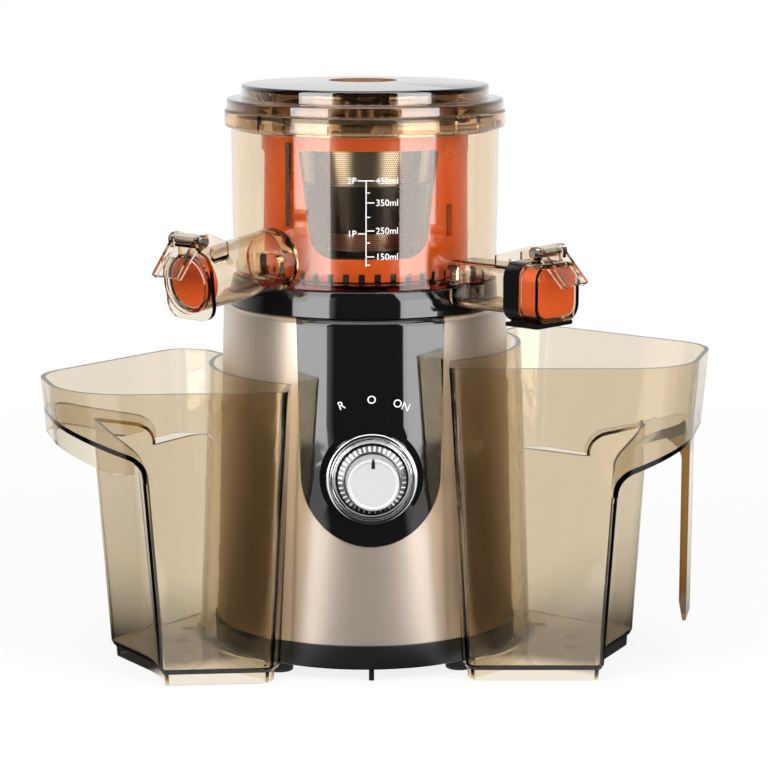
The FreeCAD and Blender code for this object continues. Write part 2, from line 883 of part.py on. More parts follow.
def gearbox_cover():
    plate = gearbox_slab(gearbox_r, gearbox_front_y, gearbox_top_z, cover_top_z)
    hub = disc(12.0, gearbox_top_z, gearbox_top_z + bearing_length)
    step = disc(6.0, gearbox_top_z, cover_top_z + 2, 0, wheel_y)
    body = fused([plate, hub, step])
    holes = [disc(2.0 + fit_gap, gearbox_top_z - 1, cover_top_z + 1, x, y) for x, y in post_places]
    bush_hole = disc(drive_r + 3.0, gearbox_top_z - 1, gearbox_top_z + bearing_length + 1)
    axle_hole = disc(axle_r, gearbox_top_z - 1, cover_top_z, 0, wheel_y)
    return body.cut(holes + [bush_hole, axle_hole])


def gearbox_posts():
    tube = ring(post_r, 2.0 + fit_gap, plate_top_z, gearbox_z)
    return [shifted(tube, x, y, 0) for x, y in post_places]


def gearbox_screws():
    shank = disc(2.0, gearbox_z - 12, cover_top_z)
    head = disc(3.6, cover_top_z, cover_top_z + 2.4)
    screw = fused([shank, head])
    return [shifted(screw, x, y, 0) for x, y in post_places]


def gear_axle():
    return disc(axle_r, gearbox_z + 1, cover_top_z, 0, wheel_y)


def intermediate_gear():
    """Two gears in one piece: the wheel on the motor pinion and the pinion on the output gear."""
    wheel_turn = -90 + 180.0 / wheel_teeth
    wheel = spur_gear(module_1, wheel_teeth, wheel_z, second_pinion_z, wheel_turn, 0, wheel_y)
    top_z = output_gear_z + output_face + 1.0
    pinion = spur_gear(module_2, second_pinion_teeth, second_pinion_z, top_z, -90, 0, wheel_y)
    sleeve = disc(5.6, top_z, gearbox_top_z - 0.3, 0, wheel_y)
    body = fused([wheel, pinion, sleeve])
    holes = [disc(5.0, wheel_z - 1, second_pinion_z + 1, 18.5 * cos(radians(a)), wheel_y + 18.5 * sin(radians(a)))
             for a in range(0, 360, 60)]
    return body.cut(holes + [disc(axle_r + fit_gap, wheel_z - 1, gearbox_top_z, 0, wheel_y)])


def output_gear():
    turn = 90 + 180.0 / output_teeth
    gear = spur_gear(module_2, output_teeth, output_gear_z, output_gear_z + output_face, turn)
    hub = disc(10.0, output_gear_z, gearbox_top_z - 0.3)
    return fused([gear, hub]).cut(disc(drive_r, output_gear_z - 1, gearbox_top_z))


def drive_shaft():
    bush_top_z = gearbox_top_z + bearing_length
    hex_low_z = deck_plate_top_z + 0.8
    body = disc(drive_r, output_gear_z, hex_low_z)
    collar = disc(drive_r + 2.0, bush_top_z + 0.3, bush_top_z + 2.3)
    point = turned([(0, hex_low_z), (drive_r, hex_low_z), (drive_r, hex_top_z - 1.5), (drive_r - 1.5, hex_top_z), (0, hex_top_z)])
    return fused([body, collar, hexagon(hex_flats, hex_low_z, hex_top_z).common(point)])


def output_bearing():
    return ring(drive_r + 3.0, drive_r + fit_gap, gearbox_top_z, gearbox_top_z + bearing_length)


def circuit_board():
    board = block(-52.8, -51.2, -22, 22, plate_top_z + 5, 85)
    relay = block(-51.2, -41, -14, 2, 55, 75)
    filter_coil = block(-51.2, -43, 4, 18, 30, 46)
    heat_plate = block(-56, -52.8, -16, 16, 40, 78)
    return fused([board, relay, filter_coil, heat_plate])


def run_capacitor():
    return turned([(0, plate_top_z), (12, plate_top_z, 0.5), (12, 55, 1.5), (0, 55)]).translated(Vec(52, 0, 0))


def juice_section(inset, x0, x1):
    width = juice_width - 2 * inset
    height = juice_height - 2 * inset
    return end_block(width, height, juice_round - min(inset, 3.0), juice_axis_z, x0, x1)


def pulp_section(inset, x0, x1):
    """Stretch of the pulp spout's cone, drawn level."""
    def radius(x):
        share = (x - bowl_r_bottom) / (pulp_end - bowl_r_bottom)
        return pulp_r_root + share * (pulp_r_end - pulp_r_root) - inset
    return Part.makeCone(radius(x0), radius(x1), x1 - x0, Vec(x0, 0, pulp_axis_z), X_AXIS)


def hinge_ears(hinge_x, hinge_z, foot_x0, foot_x1, foot_z, over_z):
    """Pair of hooked ears that carry the cap's hinge pin."""
    corners = [
        (foot_x0, foot_z),
        (foot_x1, foot_z),
        (foot_x1, over_z, 0.6),
        (hinge_x + barrel_r, over_z, 0.6),
        (hinge_x + barrel_r, hinge_z + barrel_r, barrel_r - 0.2),
        (hinge_x - barrel_r, hinge_z + barrel_r, barrel_r - 0.2),
        (foot_x0, over_z + 1.0, 1.0),
    ]
    inner = barrel_half + moving_gap
    ears = [side_prism(corners, inner, inner + ear_thickness), side_prism(corners, -inner - ear_thickness, -inner)]
    hole = along_y(hinge_pin_r, -30, 30, hinge_x, hinge_z)
    return [e.cut(hole) for e in ears]


def juice_bowl():
    inner_r = bowl_r_bottom - bowl_wall
    body = turned([
        (journal_r + fit_gap, hub_low_z),
        (hub_r, hub_low_z),
        (hub_r, deck_top_z),
        (recess_r - moving_gap - foot_ring_wall, deck_top_z),
        (recess_r - moving_gap - foot_ring_wall, deck_plate_top_z),
        (recess_r - moving_gap, deck_plate_top_z),
        (recess_r - moving_gap, deck_top_z),
        (bowl_r_bottom, deck_top_z, 0.6),
        (bowl_radius(flange_low_z), flange_low_z),
        (flange_r, flange_low_z, 1.4),
        (flange_r, rim_z, 1.2),
        (mouth_wall_r, rim_z),
        (mouth_wall_r, flange_low_z),
        (inner_r, bowl_floor_z, 1.0),
        (hub_r, bowl_floor_z, 1.0),
        (hub_r, hub_top_z, 0.4),
        (bowl_seal_r, hub_top_z),
        (bowl_seal_r, hub_top_z - 2.2),
        (journal_r + fit_gap, hub_top_z - 2.2),
    ])
    clear_r = deck_r_bottom + moving_gap
    keep_out = [
        disc(inner_r + 0.6, deck_top_z, rim_z),
        disc(clear_r, housing_top_z - 10, deck_top_z),
    ]
    juice_tube = juice_section(0, inner_r - 4, juice_end).cut(keep_out)
    pulp_tube = to_pulp_spout(pulp_section(0, inner_r - 4, pulp_end)).cut(keep_out)
    juice_ears = hinge_ears(hinge_x_juice, hinge_z_juice, collar_start - 9.0, collar_start - 0.5,
                            juice_axis_z + juice_height / 2 - 1.0, hinge_z_juice - 3.4)
    pulp_ears = hinge_ears(hinge_x_pulp, hinge_z_pulp, pulp_end - 14.8, pulp_end - 4.8,
                           pulp_axis_z + 9.0, hinge_z_pulp - 3.6)
    pin = disc(idler_pin_r, bowl_floor_z, brush_gear_top_z, 0, idler_y)
    pin_step = disc(idler_pin_r + 2.2, bowl_floor_z, brush_gear_z - 0.3, 0, idler_y)
    body = fused(
        [body, to_juice_spout(juice_tube), pulp_tube, pin, pin_step]
        + [to_juice_spout(e) for e in juice_ears]
    )
    bore_start = clear_r + 2.0
    cuts = [to_juice_spout(juice_section(juice_wall, bore_start, juice_end + 1))]
    cuts.append(to_pulp_spout(pulp_section(pulp_wall, bore_start + 1.5, pulp_end)))
    low = bowl_floor_z + 0.3 + juice_hole_height / 2
    hole = end_block(juice_hole_width, juice_hole_height, 2.0, low, inner_r - 9, bore_start + 1)
    cuts.append(to_juice_spout(hole))
    hole = end_block(pulp_hole_width, pulp_hole_height, 4.0, pulp_axis_z - 2.0, inner_r - 9, bore_start + 3)
    cuts.append(to_pulp_spout(hole))
    notch = block(recess_r - 9, recess_r + 0.2, -lug_width / 2 - moving_gap, lug_width / 2 + moving_gap,
                  deck_plate_top_z - 1, deck_top_z)
    cuts += around(notch, 4, 45)
    cuts += bayonet_slots()
    body = body.cut(cuts)
    return fused([body] + [to_pulp_spout(e).cut(to_pulp_spout(pulp_section(1.0, 100, pulp_end))) for e in pulp_ears])


def sector(radius, bottom, top, start, span):
    shape = Part.makeCylinder(radius, top - bottom, Vec(0, 0, bottom), Z_AXIS, span)
    return spun(shape, start)


def bayonet_slots():
    """L-shaped tracks inside the bowl's flange, one for each lug of the lid."""
    track_r = mouth_wall_r + bayonet_depth + 0.2
    low_z = flange_low_z + 0.2
    high_z = low_z + bayonet_height + 0.8
    span = bayonet_lug_span + 1.2
    drop = sector(track_r, low_z, rim_z + 1, -span / 2, span)
    run = sector(track_r, low_z, high_z, -span / 2, span + bayonet_angle)
    core = disc(mouth_wall_r - 2, low_z - 1, rim_z + 2)
    return around(drop.fuse(run).cut(core), bayonet_lugs, 45)


def bowl_seal():
    return ring(bowl_seal_r - fit_gap, journal_r + fit_gap, hub_top_z - 2.2, hub_top_z + 0.2)


def spout_collar():
    outer_w = juice_width + 2 * collar_border
    outer_h = juice_height + 2 * collar_border - 0.6
    body = end_block(outer_w, outer_h, juice_round + 2.0, juice_axis_z, collar_start, collar_end)
    lip_top = juice_axis_z - outer_h / 2 - 0.2
    lip = end_block(outer_w - 4.0, 2.2, 0.8, lip_top - 1.1, collar_start, collar_lip_end)
    foot = end_block(outer_w - 12.0, 4.0, 0.8, lip_top, collar_start, collar_end)
    body = fused([body, lip, foot])
    return to_juice_spout(body.cut(juice_section(-fit_gap, collar_start - 1, collar_end + 1)))


def hinge_pin(hinge_x, hinge_z):
    half = barrel_half + moving_gap + ear_thickness
    return along_y(hinge_pin_r, -half, half, hinge_x, hinge_z)


def lever(hinge_x, hinge_z, root_drop, root_depth):
    """Thumb lever of a flip cap: hinge barrel, two arms and the plate between them."""
    barrel = along_y(barrel_r, -barrel_half, barrel_half, hinge_x, hinge_z)
    arm = side_prism([
        (hinge_x - 0.5, hinge_z + 0.5),
        (hinge_x + 2.2, hinge_z + 3.2, 1.0),
        (hinge_x + lever_reach, hinge_z - lever_drop, 0.5),
        (hinge_x + lever_reach - 2.6, hinge_z - lever_drop - 2.2, 0.5),
    ], -barrel_half, -barrel_half + lever_thickness)
    other = shifted(arm, 0, 2 * barrel_half - lever_thickness, 0)
    slope_x = lever_reach - 2.2
    slope_z = -lever_drop - 3.2
    share = 0.55
    thumb = side_prism([
        (hinge_x + 2.2 + share * slope_x, hinge_z + 3.2 + share * slope_z),
        (hinge_x + lever_reach, hinge_z - lever_drop),
        (hinge_x + lever_reach - 1.4, hinge_z - lever_drop - 1.2),
        (hinge_x + 0.8 + share * slope_x, hinge_z + 2.0 + share * slope_z),
    ], -barrel_half, barrel_half)
    web = block(hinge_x + root_depth[0], hinge_x + root_depth[1], -barrel_half, barrel_half, hinge_z - root_drop, hinge_z - 1.0)
    return [barrel, arm, other, thumb, web]


def juice_cap():
    back_x = collar_end + 0.8
    outer = end_block(cap_width, cap_height, juice_round + 2.0, juice_axis_z, back_x, back_x + cap_depth)
    inner = end_block(cap_width - 2 * cap_wall, cap_height - 2 * cap_wall, juice_round, juice_axis_z,
                      back_x - 1, back_x + cap_depth - cap_wall)
    drop = hinge_z_juice - juice_axis_z - cap_height / 2 + 0.5
    pieces = lever(hinge_x_juice, hinge_z_juice, drop, (-2.5, 3.0))
    body = fused([outer] + pieces).cut([inner, along_y(hinge_pin_r + fit_gap, -30, 30, hinge_x_juice, hinge_z_juice)])
    return to_juice_spout(body)


def juice_seal():
    back_x = collar_end + 0.8
    front_x = back_x + cap_depth - cap_wall
    pad = end_block(cap_width - 2 * cap_wall - 1.0, cap_height - 2 * cap_wall - 1.0, juice_round, juice_axis_z,
                    juice_end + 0.4, front_x)
    wide = juice_width - 2 * juice_wall - 2 * plug_gap
    tall = juice_height - 2 * juice_wall - 2 * plug_gap
    plug = end_block(wide, tall, 2.5, juice_axis_z, juice_end - 1.5, juice_end + 0.4)
    return to_juice_spout(fused([pad, plug]))


def pulp_cap():
    back_x = pulp_end + 0.4
    plate = end_block(flap_width, flap_height, 8.0, pulp_axis_z - 1.0, back_x, back_x + flap_thickness)
    rim = along_x(pulp_r_end + 0.4, back_x, back_x + flap_thickness + 1.6, 0, pulp_axis_z)
    rim = rim.cut(along_x(pulp_r_end - 1.4, back_x + flap_thickness, back_x + 10, 0, pulp_axis_z))
    drop = hinge_z_pulp - pulp_axis_z - flap_height / 2 + 1.5
    pieces = lever(hinge_x_pulp, hinge_z_pulp, drop, (back_x - hinge_x_pulp, back_x - hinge_x_pulp + flap_thickness))
    body = fused([plate, rim] + pieces).cut(along_y(hinge_pin_r + fit_gap, -30, 30, hinge_x_pulp, hinge_z_pulp))
    return to_pulp_spout(body)


def pulp_seal():
    back_x = pulp_end + 0.4
    bore_r = pulp_r_end - pulp_wall
    plug = along_x(bore_r - plug_gap, back_x - 5.0, back_x, 0, pulp_axis_z)
    hollow = along_x(bore_r - plug_gap - 2.0, back_x - 6.0, back_x - 1.6, 0, pulp_axis_z)
    return to_pulp_spout(plug.cut(hollow))


def strainer_frame():
    base_z = screen_bottom_z - strainer_base
    step_r = module_3 * ring_teeth / 2 - module_3 - 0.8
    skirt = ring(skirt_inner_r + skirt_wall, skirt_inner_r, bowl_floor_z, base_z)
    idler_room = disc(module_3 * idler_teeth / 2 + module_3 + 0.8, bowl_floor_z - 1, base_z - 0.01, 0, idler_y)
    skirt = skirt.cut(idler_room)
    flange = ring(step_r, skirt_inner_r - 1.3, base_z, screen_bottom_z)

    def band(low, high):
        return turned([
            (screen_radius(low), low),
            (screen_radius(low) + band_thickness, low),
            (screen_radius(high) + band_thickness, high),
            (screen_radius(high), high),
        ])
    foot = band(screen_bottom_z, screen_bottom_z + 3.0)
    middle = band(band_low_z, band_high_z)
    neck_z = screen_top_z - 4.0
    funnel = turned([
        (screen_radius(neck_z), neck_z),
        (screen_radius(neck_z) + band_thickness, neck_z),
        (screen_radius(screen_top_z) + band_thickness, screen_top_z - 1.0),
        (funnel_r, funnel_top_z - 2.0),
        (funnel_r, funnel_top_z),
        (screen_radius(screen_top_z), screen_top_z),
    ])
    rib = side_prism([
        (screen_radius(screen_bottom_z), screen_bottom_z),
        (screen_radius(screen_bottom_z) + band_thickness, screen_bottom_z),
        (screen_radius(neck_z + 1.0) + band_thickness, neck_z + 1.0),
        (screen_radius(neck_z + 1.0), neck_z + 1.0),
    ], -1.6, 1.6)
    core = turned([(0, screen_bottom_z), (screen_radius(screen_bottom_z), screen_bottom_z),
                   (screen_radius(screen_top_z), screen_top_z), (0, screen_top_z)])
    ribs = [r.cut(core) for r in around(rib, rib_count, 45)]
    return fused([skirt, flange, foot, middle, funnel] + ribs)


def strainer_screen():
    """Fine steel screen, drawn as a plain thin cone."""
    inner_low = screen_radius(screen_bottom_z) - screen_thickness
    inner_high = screen_radius(screen_top_z) - screen_thickness
    return turned([
        (inner_low, screen_bottom_z),
        (screen_radius(screen_bottom_z), screen_bottom_z),
        (screen_radius(screen_top_z), screen_top_z),
        (inner_high, screen_top_z),
    ])


def wiper_strip():
    """Silicone strip on the brush's radius, canted towards the bowl's wall."""
    low_z = bowl_floor_z + blade_rise
    half = blade_thickness / 2
    strip = block(-2.0, blade_width, -half, half, low_z, brush_top_z - 3.2)
    return shifted(spun(strip, 38), brush_r - brush_wall, 0, 0)


def wiper_blades():
    return [spun(wiper_strip(), a) for a in (-140.0, 40.0)]


def brush_posts():
    """Four posts left between the brush's windows: two wide openings and two narrow ones."""
    low_z = bowl_floor_z + brush_bottom_gap + brush_ring_height
    top_z = brush_top_z - window_top_drop
    shell = turned([
        (brush_r - brush_wall, low_z - 1.0),
        (brush_r, low_z - 1.0),
        (brush_r, brush_top_z, 0.6),
        (brush_r - brush_wall, brush_top_z, 0.6),
    ])
    reach = brush_r + 5
    front = side_prism([(-window_half_top, top_z, 2.0), (window_half_top, top_z, 2.0),
                        (window_half_bottom, low_z + 1.0, 12.0), (-window_half_bottom, low_z + 1.0, 12.0)],
                       -reach, reach)
    side = side_prism([(-13.0, top_z - 2.5, 3.0), (13.0, top_z - 2.5, 3.0), (10.0, low_z + 9.0, 5.0),
                       (-10.0, low_z + 9.0, 5.0)], -reach, reach)
    return shell.cut([front, spun(side, 90)])


def blade_holder(angle):
    """Thicker stretch of a post around the foot of its strip."""
    low_z = bowl_floor_z + holder_rise
    keep = ring(brush_r + 1.2, brush_r - brush_wall, low_z, low_z + holder_height)
    return spun(keep.common(block(0, brush_r + 5, -3.4, 3.4, low_z, low_z + holder_height)), angle)


def brush_frame():
    low_z = bowl_floor_z + brush_bottom_gap
    ring_top_z = low_z + brush_ring_height
    pitch_r = module_3 * ring_teeth / 2
    lower = disc(brush_r, low_z, ring_top_z)
    tooth_tops = gear_outline(module_3, ring_teeth, pitch_r + 1.25 * module_3, pitch_r - module_3, -backlash,
                              90 + 180.0 / ring_teeth)
    teeth_room = prism(tooth_tops, low_z - 1, brush_gear_top_z + 0.2)
    opening = disc(pitch_r - module_3 - 0.4, low_z - 1, ring_top_z + 1)
    notch = block(brush_r - 1.8, brush_r + 1, -notch_width / 2, notch_width / 2, low_z - 1, low_z + notch_height)
    lower = lower.cut([teeth_room, opening] + around(notch, notch_count))
    holders = [blade_holder(a) for a in (-140.0, 40.0)]
    slot_z = bowl_floor_z + slot_rise
    slot = block(brush_r - 5, brush_r + 3, -slot_width / 2, slot_width / 2, slot_z, slot_z + slot_height)
    slots = [spun(slot, a) for a in (-40.0, 140.0)]
    return fused([lower, brush_posts()] + holders).cut(wiper_blades() + slots)


def brush_pinion():
    turn = 90 + 180.0 / idler_teeth
    gear = spur_gear(module_3, idler_teeth, brush_gear_z, brush_gear_top_z, turn, 0, idler_y)
    return gear.cut(disc(idler_pin_r + fit_gap, brush_gear_z - 1, brush_gear_top_z + 1, 0, idler_y))


def auger_flight():
    """One helical flight: sections turned and raised step by step and joined by ruled faces."""
    low_z = screen_bottom_z + 3.0
    steps = int(flight_turns * flight_steps_per_turn)
    sections = []
    for i in range(steps + 1):
        share = i / steps
        z = low_z + share * (auger_top_z - 6.0 - low_z)
        angle = 2 * pi * flight_turns * share
        inner = auger_core_radius(z) - 2.5
        outer = screen_radius(z) - screen_thickness - flight_gap
        corners = [(inner, z - flight_root / 2), (outer, z - flight_tip / 2), (outer, z + flight_tip / 2),
                   (inner, z + flight_root / 2)]
        points = [Vec(r * cos(angle), r * sin(angle), h) for r, h in corners]
        sections.append(Part.makePolygon(points + points[:1]))
    return Part.makeLoft(sections, True, True)


def auger_core_radius(z):
    share = (z - brush_gear_top_z) / (auger_top_z - brush_gear_top_z)
    return auger_root_r + share * (auger_neck_r - auger_root_r)


def auger():
    low_z = deck_plate_top_z + 1.0
    core = turned([
        (0, low_z),
        (journal_r, low_z),
        (journal_r, brush_gear_top_z + 0.4),
        (auger_root_r, brush_gear_top_z + 0.4),
        (auger_core_radius(auger_top_z), auger_top_z, 2.0),
        (auger_pin_r, auger_top_z, 0.5),
        (auger_pin_r, pin_top_z, 0.8),
        (0, pin_top_z),
    ])
    gear = spur_gear(module_3, sun_teeth, brush_gear_z, brush_gear_top_z, 90)
    body = fused([core, gear, auger_flight()])
    return body.cut(hexagon(hex_flats + moving_gap, low_z - 1, hex_top_z + 1.0))


def lid():
    top_low_z = lid_top_z - lid_wall
    step_z = rim_z + lid_lower_height
    skirt_r = mouth_wall_r - moving_gap
    skirt_low_z = rim_z - skirt_depth
    groove_r = skirt_r - gasket_width - 0.3
    groove_top_z = rim_z - 0.4
    groove_low_z = groove_top_z - gasket_height - 0.2
    body = turned([
        (0, lid_top_z),
        (lid_upper_r, lid_top_z, 1.6),
        (lid_upper_r, step_z, 0.5),
        (lid_lower_r, step_z, 1.4),
        (lid_lower_r, rim_z, 0.5),
        (groove_r, rim_z),
        (groove_r, groove_low_z),
        (skirt_r, groove_low_z),
        (skirt_r, skirt_low_z, 0.5),
        (skirt_r - lid_skirt_wall - 1.2, skirt_low_z, 0.5),
        (skirt_r - lid_skirt_wall - 1.2, step_z - lid_wall),
        (lid_upper_r - lid_wall - 2, step_z - lid_wall),
        (lid_upper_r - lid_wall - 2, top_low_z),
        (0, top_low_z),
    ])
    clamp_ring = ring(funnel_r - 1.0, funnel_r - 3.0, funnel_top_z + 0.3, top_low_z + 0.5)
    sleeve = disc(mouth_r + sleeve_wall, sleeve_bottom_z, top_low_z + 0.5, 0, mouth_y)
    boss = disc(lid_boss_r, sleeve_bottom_z, top_low_z + 0.5)
    lug_low_z = flange_low_z + 0.6
    lug = sector(skirt_r + bayonet_depth, lug_low_z, lug_low_z + bayonet_height, -bayonet_lug_span / 2, bayonet_lug_span)
    lug = lug.cut(disc(skirt_r - 1, lug_low_z - 1, lug_low_z + 10))
    body = fused([body, clamp_ring, sleeve, boss] + around(lug, bayonet_lugs, 45))
    mouth = disc(mouth_r, sleeve_bottom_z - 5, lid_top_z + 1, 0, mouth_y)
    bush_room = disc(lid_bush_r, sleeve_bottom_z - 1, sleeve_bottom_z + lid_bush_length)
    pin_room = disc(auger_pin_r + 0.5, sleeve_bottom_z, pin_top_z + 1.0)
    return body.cut([mouth, bush_room, pin_room])


def lid_bush():
    return ring(lid_bush_r, auger_pin_r + fit_gap, sleeve_bottom_z, sleeve_bottom_z + lid_bush_length)


def lid_gasket():
    skirt_r = mouth_wall_r - moving_gap
    top_z = rim_z - 0.5
    return ring(skirt_r + 0.1, skirt_r - gasket_width, top_z - gasket_height, top_z)


def cup_outline(hug_r, start, stop, corners, z):
    """Plan of a cup: the outer corners closed by an arc that hugs the body."""
    begin = (hug_r * cos(radians(stop)), hug_r * sin(radians(stop)))
    finish = (hug_r * cos(radians(start)), hug_r * sin(radians(start)))
    middle = radians((start + stop) / 2)
    outline = [(finish[0], finish[1])] + corners + [(begin[0], begin[1])]
    edges = rounded_wire(outline, on_plan).Edges[1:]
    arc = Part.Arc(Vec(begin[0], begin[1], 0), Vec(hug_r * cos(middle), hug_r * sin(middle), 0),
                   Vec(finish[0], finish[1], 0)).toShape()
    wire = Part.Wire(Part.__sortEdges__(edges + [arc]))
    wire.translate(Vec(0, 0, z))
    return wire


class CupSizes:
    """Named sizes of one cup. Pairs give the value at the floor and at the rim."""

    def __init__(self, rim_z, shelf_z, near, outer, back, back_y):
        self.rim_z = rim_z
        self.shelf_z = shelf_z
        self.near = near
        self.outer = outer
        self.back = back
        self.back_y = back_y

    def between(self, pair, z):
        return pair[0] + (pair[1] - pair[0]) * z / self.rim_z

    def near_corner(self, z):
        front = self.between((cup_front_foot, cup_front_rim), z)
        return base_r + self.between(self.near, z), -base_r - front

    def on_front(self, reach, z):
        """Point of the flat front wall at a reach beyond the base."""
        near_x, near_y = self.near_corner(z)
        return base_r + reach, near_y - (base_r + reach - near_x) * cup_front_slope

    def hug(self, z):
        return self.between((base_r + cup_gap_foot, housing_r_bottom + cup_gap_rim), z)

    def outline(self, corners, z):
        near = self.near_corner(z) + (6.0,)
        return cup_outline(self.hug(z), self.between((-57.0, -60.0), z), 22.0, [near] + corners, z)

    def keep(self, z):
        """Plan that bounds the narrow lower body; it passes outside the front and the body's side."""
        front_x, front_y = self.on_front(-base_r, z)
        outer = self.on_front(self.between(self.outer, z), z)
        outer = (outer[0], outer[1] - 0.3)
        back = (base_r + self.between(self.back, z), self.between(self.back_y, z))
        waist = (outer[0] + 2.5 + 1.5 * z / self.rim_z, back[1] - 43.0 - 10.0 * z / self.rim_z, 60.0)
        heel = (base_r + self.between((7.0, 11.0), z), self.between((38.0, 42.0), z), 9.0)
        corners = [(front_x, front_y - 0.3), outer + (4.5,), waist, back + (9.0,), heel,
                   (base_r - 15.0, heel[1] - 8.0), (front_x, heel[1] - 8.0)]
        wire = rounded_wire(corners, on_plan)
        wire.translate(Vec(0, 0, z))
        return wire


class CupMouth(CupSizes):
    """The wide mouth above the shelf; it shares the body's front wall."""

    def widen(self, front, side, side_y, front_round):
        self.front = front
        self.side = side
        self.side_y = side_y
        self.front_round = front_round

    def mouth(self, z):
        draft = 0.08 * (self.rim_z - z)
        front = self.on_front(self.front - draft, z) + (self.front_round,)
        side = (base_r + self.side - draft, self.side_y, 30.0)
        back = (base_r + 21.0 - 0.3 * draft, 49.0 - 0.5 * draft, 12.0)
        return self.outline([front, side, back, (base_r + 3.0, 42.0, 6.0)], z)


def juice_sizes():
    cup = CupMouth(juice_cup_rim_z, juice_shelf_z, (juice_near_foot, juice_near_rim),
                   (juice_outer_foot, juice_outer_rim), (juice_back_foot, juice_back_rim),
                   (juice_back_foot_y, juice_back_rim_y))
    cup.widen(juice_mouth_front, juice_mouth_side, juice_mouth_side_y, 36.0)
    return cup


def pulp_sizes():
    cup = CupMouth(pulp_cup_rim_z, pulp_shelf_z, (pulp_near_foot, pulp_near_rim),
                   (pulp_outer_foot, pulp_outer_rim), (pulp_back_foot, pulp_back_rim),
                   (pulp_back_foot_y, pulp_back_rim_y))
    cup.widen(pulp_mouth_front, pulp_mouth_side, pulp_mouth_side_y, 42.0)
    return cup


def loft(low_wire, high_wire):
    return Part.makeLoft([low_wire, high_wire], True, True)


def inset(wire, depth):
    return wire.makeOffset2D(-depth) if depth > 0 else wire


def shelf_edge(cup):
    """Where the shelf meets the outer front corner of the body."""
    return base_r + cup.between(cup.outer, cup.shelf_z)


def below_shelf(cup, inward):
    """Everything under the sloping shelf, rounded where the shelf meets the body."""
    edge_x = shelf_edge(cup) - 0.5 - inward
    far_x = base_r + cup.side + 40
    slope = tan(shelf_slope)
    shelf_z = cup.shelf_z + inward / cos(shelf_slope)
    corners = [
        (edge_x, 0),
        (far_x, 0),
        (far_x, shelf_z + (far_x - edge_x - inward) * slope),
        (edge_x, shelf_z - inward * slope, shelf_round + inward),
    ]
    low = block(0, far_x, -base_r - 80, base_r + 40, 0, cup.shelf_z - 9.0)
    return side_prism(corners, -base_r - 80, base_r + 40).fuse(low)


def tapered(plan, depth_low, depth_high, bottom, top):
    return loft(inset(plan(bottom), depth_low), inset(plan(top), depth_high))


def cup_solid(cup, depth, bottom, top):
    """The whole cup as one lump, drawn in by depth from its outside."""
    wide = tapered(cup.mouth, depth, depth, bottom, top)
    narrow = tapered(cup.keep, depth, depth, bottom - 1.0, top + 1.0)
    return wide.cut(below_shelf(cup, depth).cut(narrow))


def cup_foot(cup):
    """Bevel under the floor, hollow foot ring set in from the body and three pads."""
    top_z = cup_foot_height

    def slab(low_depth, high_depth, bottom, top):
        wide = tapered(cup.mouth, low_depth, high_depth, bottom, top)
        return wide.common(tapered(cup.keep, low_depth, high_depth, bottom, top))
    edge = slab(1.0, 0.05, top_z, top_z + 2.25)
    depth = cup_foot_inset
    foot = slab(depth, depth, 0.0, top_z + 0.2).cut(slab(depth + cup_wall, depth + cup_wall, -1.0, top_z + 1.0))
    pads = [disc(cup_pad_r, 0, top_z + 0.2, x, y) for x, y in pad_places(cup)]
    return [edge, foot] + pads


def cup_body(cup, extras):
    """Thin-walled cup with its foot and whatever is joined to its outside."""
    room = cup_solid(cup, cup_wall, cup_foot_height + cup_floor_thickness, cup.rim_z + 2.0)
    shell = cup_solid(cup, 0.0, cup_foot_height + 2.0, cup.rim_z)
    for extra in extras:
        shell = shell.fuse(extra)
    shell = shell.cut(room)
    for piece in cup_foot(cup):
        shell = shell.fuse(piece)
    return shell.removeSplitter()


def pad_places(cup):
    outer_x = base_r + cup.outer[0]
    return [(outer_x - 12.0, -45.0), (outer_x - 9.0, -24.0), (base_r + 14.0, 1.0)]


def pulp_cup():
    """Cup on the pulp side; its mouth's wall hangs below the shelf as a grip."""
    cup = pulp_sizes()
    low_z = cup.shelf_z - 40
    inner = cup_wall - 0.1
    wall = tapered(cup.mouth, 0.05, 0.05, low_z, cup.rim_z).cut(tapered(cup.mouth, inner, inner, low_z, cup.rim_z))
    edge_x = shelf_edge(cup)
    far_x = base_r + cup.side + 40
    rise = (far_x - edge_x) * tan(shelf_slope)
    band = side_prism([
        (edge_x + 4, cup.shelf_z - 4),
        (edge_x + 14, cup.shelf_z - cup_skirt + 14 * tan(shelf_slope), 8.0),
        (far_x, cup.shelf_z + rise - cup_skirt),
        (far_x, cup.shelf_z + rise + 0.5),
        (edge_x + 4, cup.shelf_z + 2.0),
    ], -base_r - 80, base_r + 40)
    return cup_body(cup, [wall.common(band)]).mirror(ORIGIN, X_AXIS)


def cup_handle(cup):
    """Flat blade that hangs under the mouth, with a rounded root along the shelf."""
    top_z = cup.rim_z - 28
    root_z = cup.shelf_z + (base_r + juice_back_rim - shelf_edge(cup)) * tan(shelf_slope)
    back = -handle_thickness
    corners = [
        (back, handle_bottom_z + 10.0, 2.0),
        (back + 1.8, handle_bottom_z, 0.6),
        (0, handle_bottom_z, 0.6),
        (0.5, top_z),
        (back - 15.0, top_z),
        (back - 15.0, root_z - 1.6),
        (back, root_z - 1.6 + 15.0 * tan(shelf_slope), 9.0),
    ]
    half = handle_width / 2
    return shifted(spun(side_prism(corners, -half, half), handle_turn), base_r + handle_reach, handle_y, 0)


def juice_cup():
    cup = juice_sizes()
    return cup_body(cup, [cup_handle(cup)])


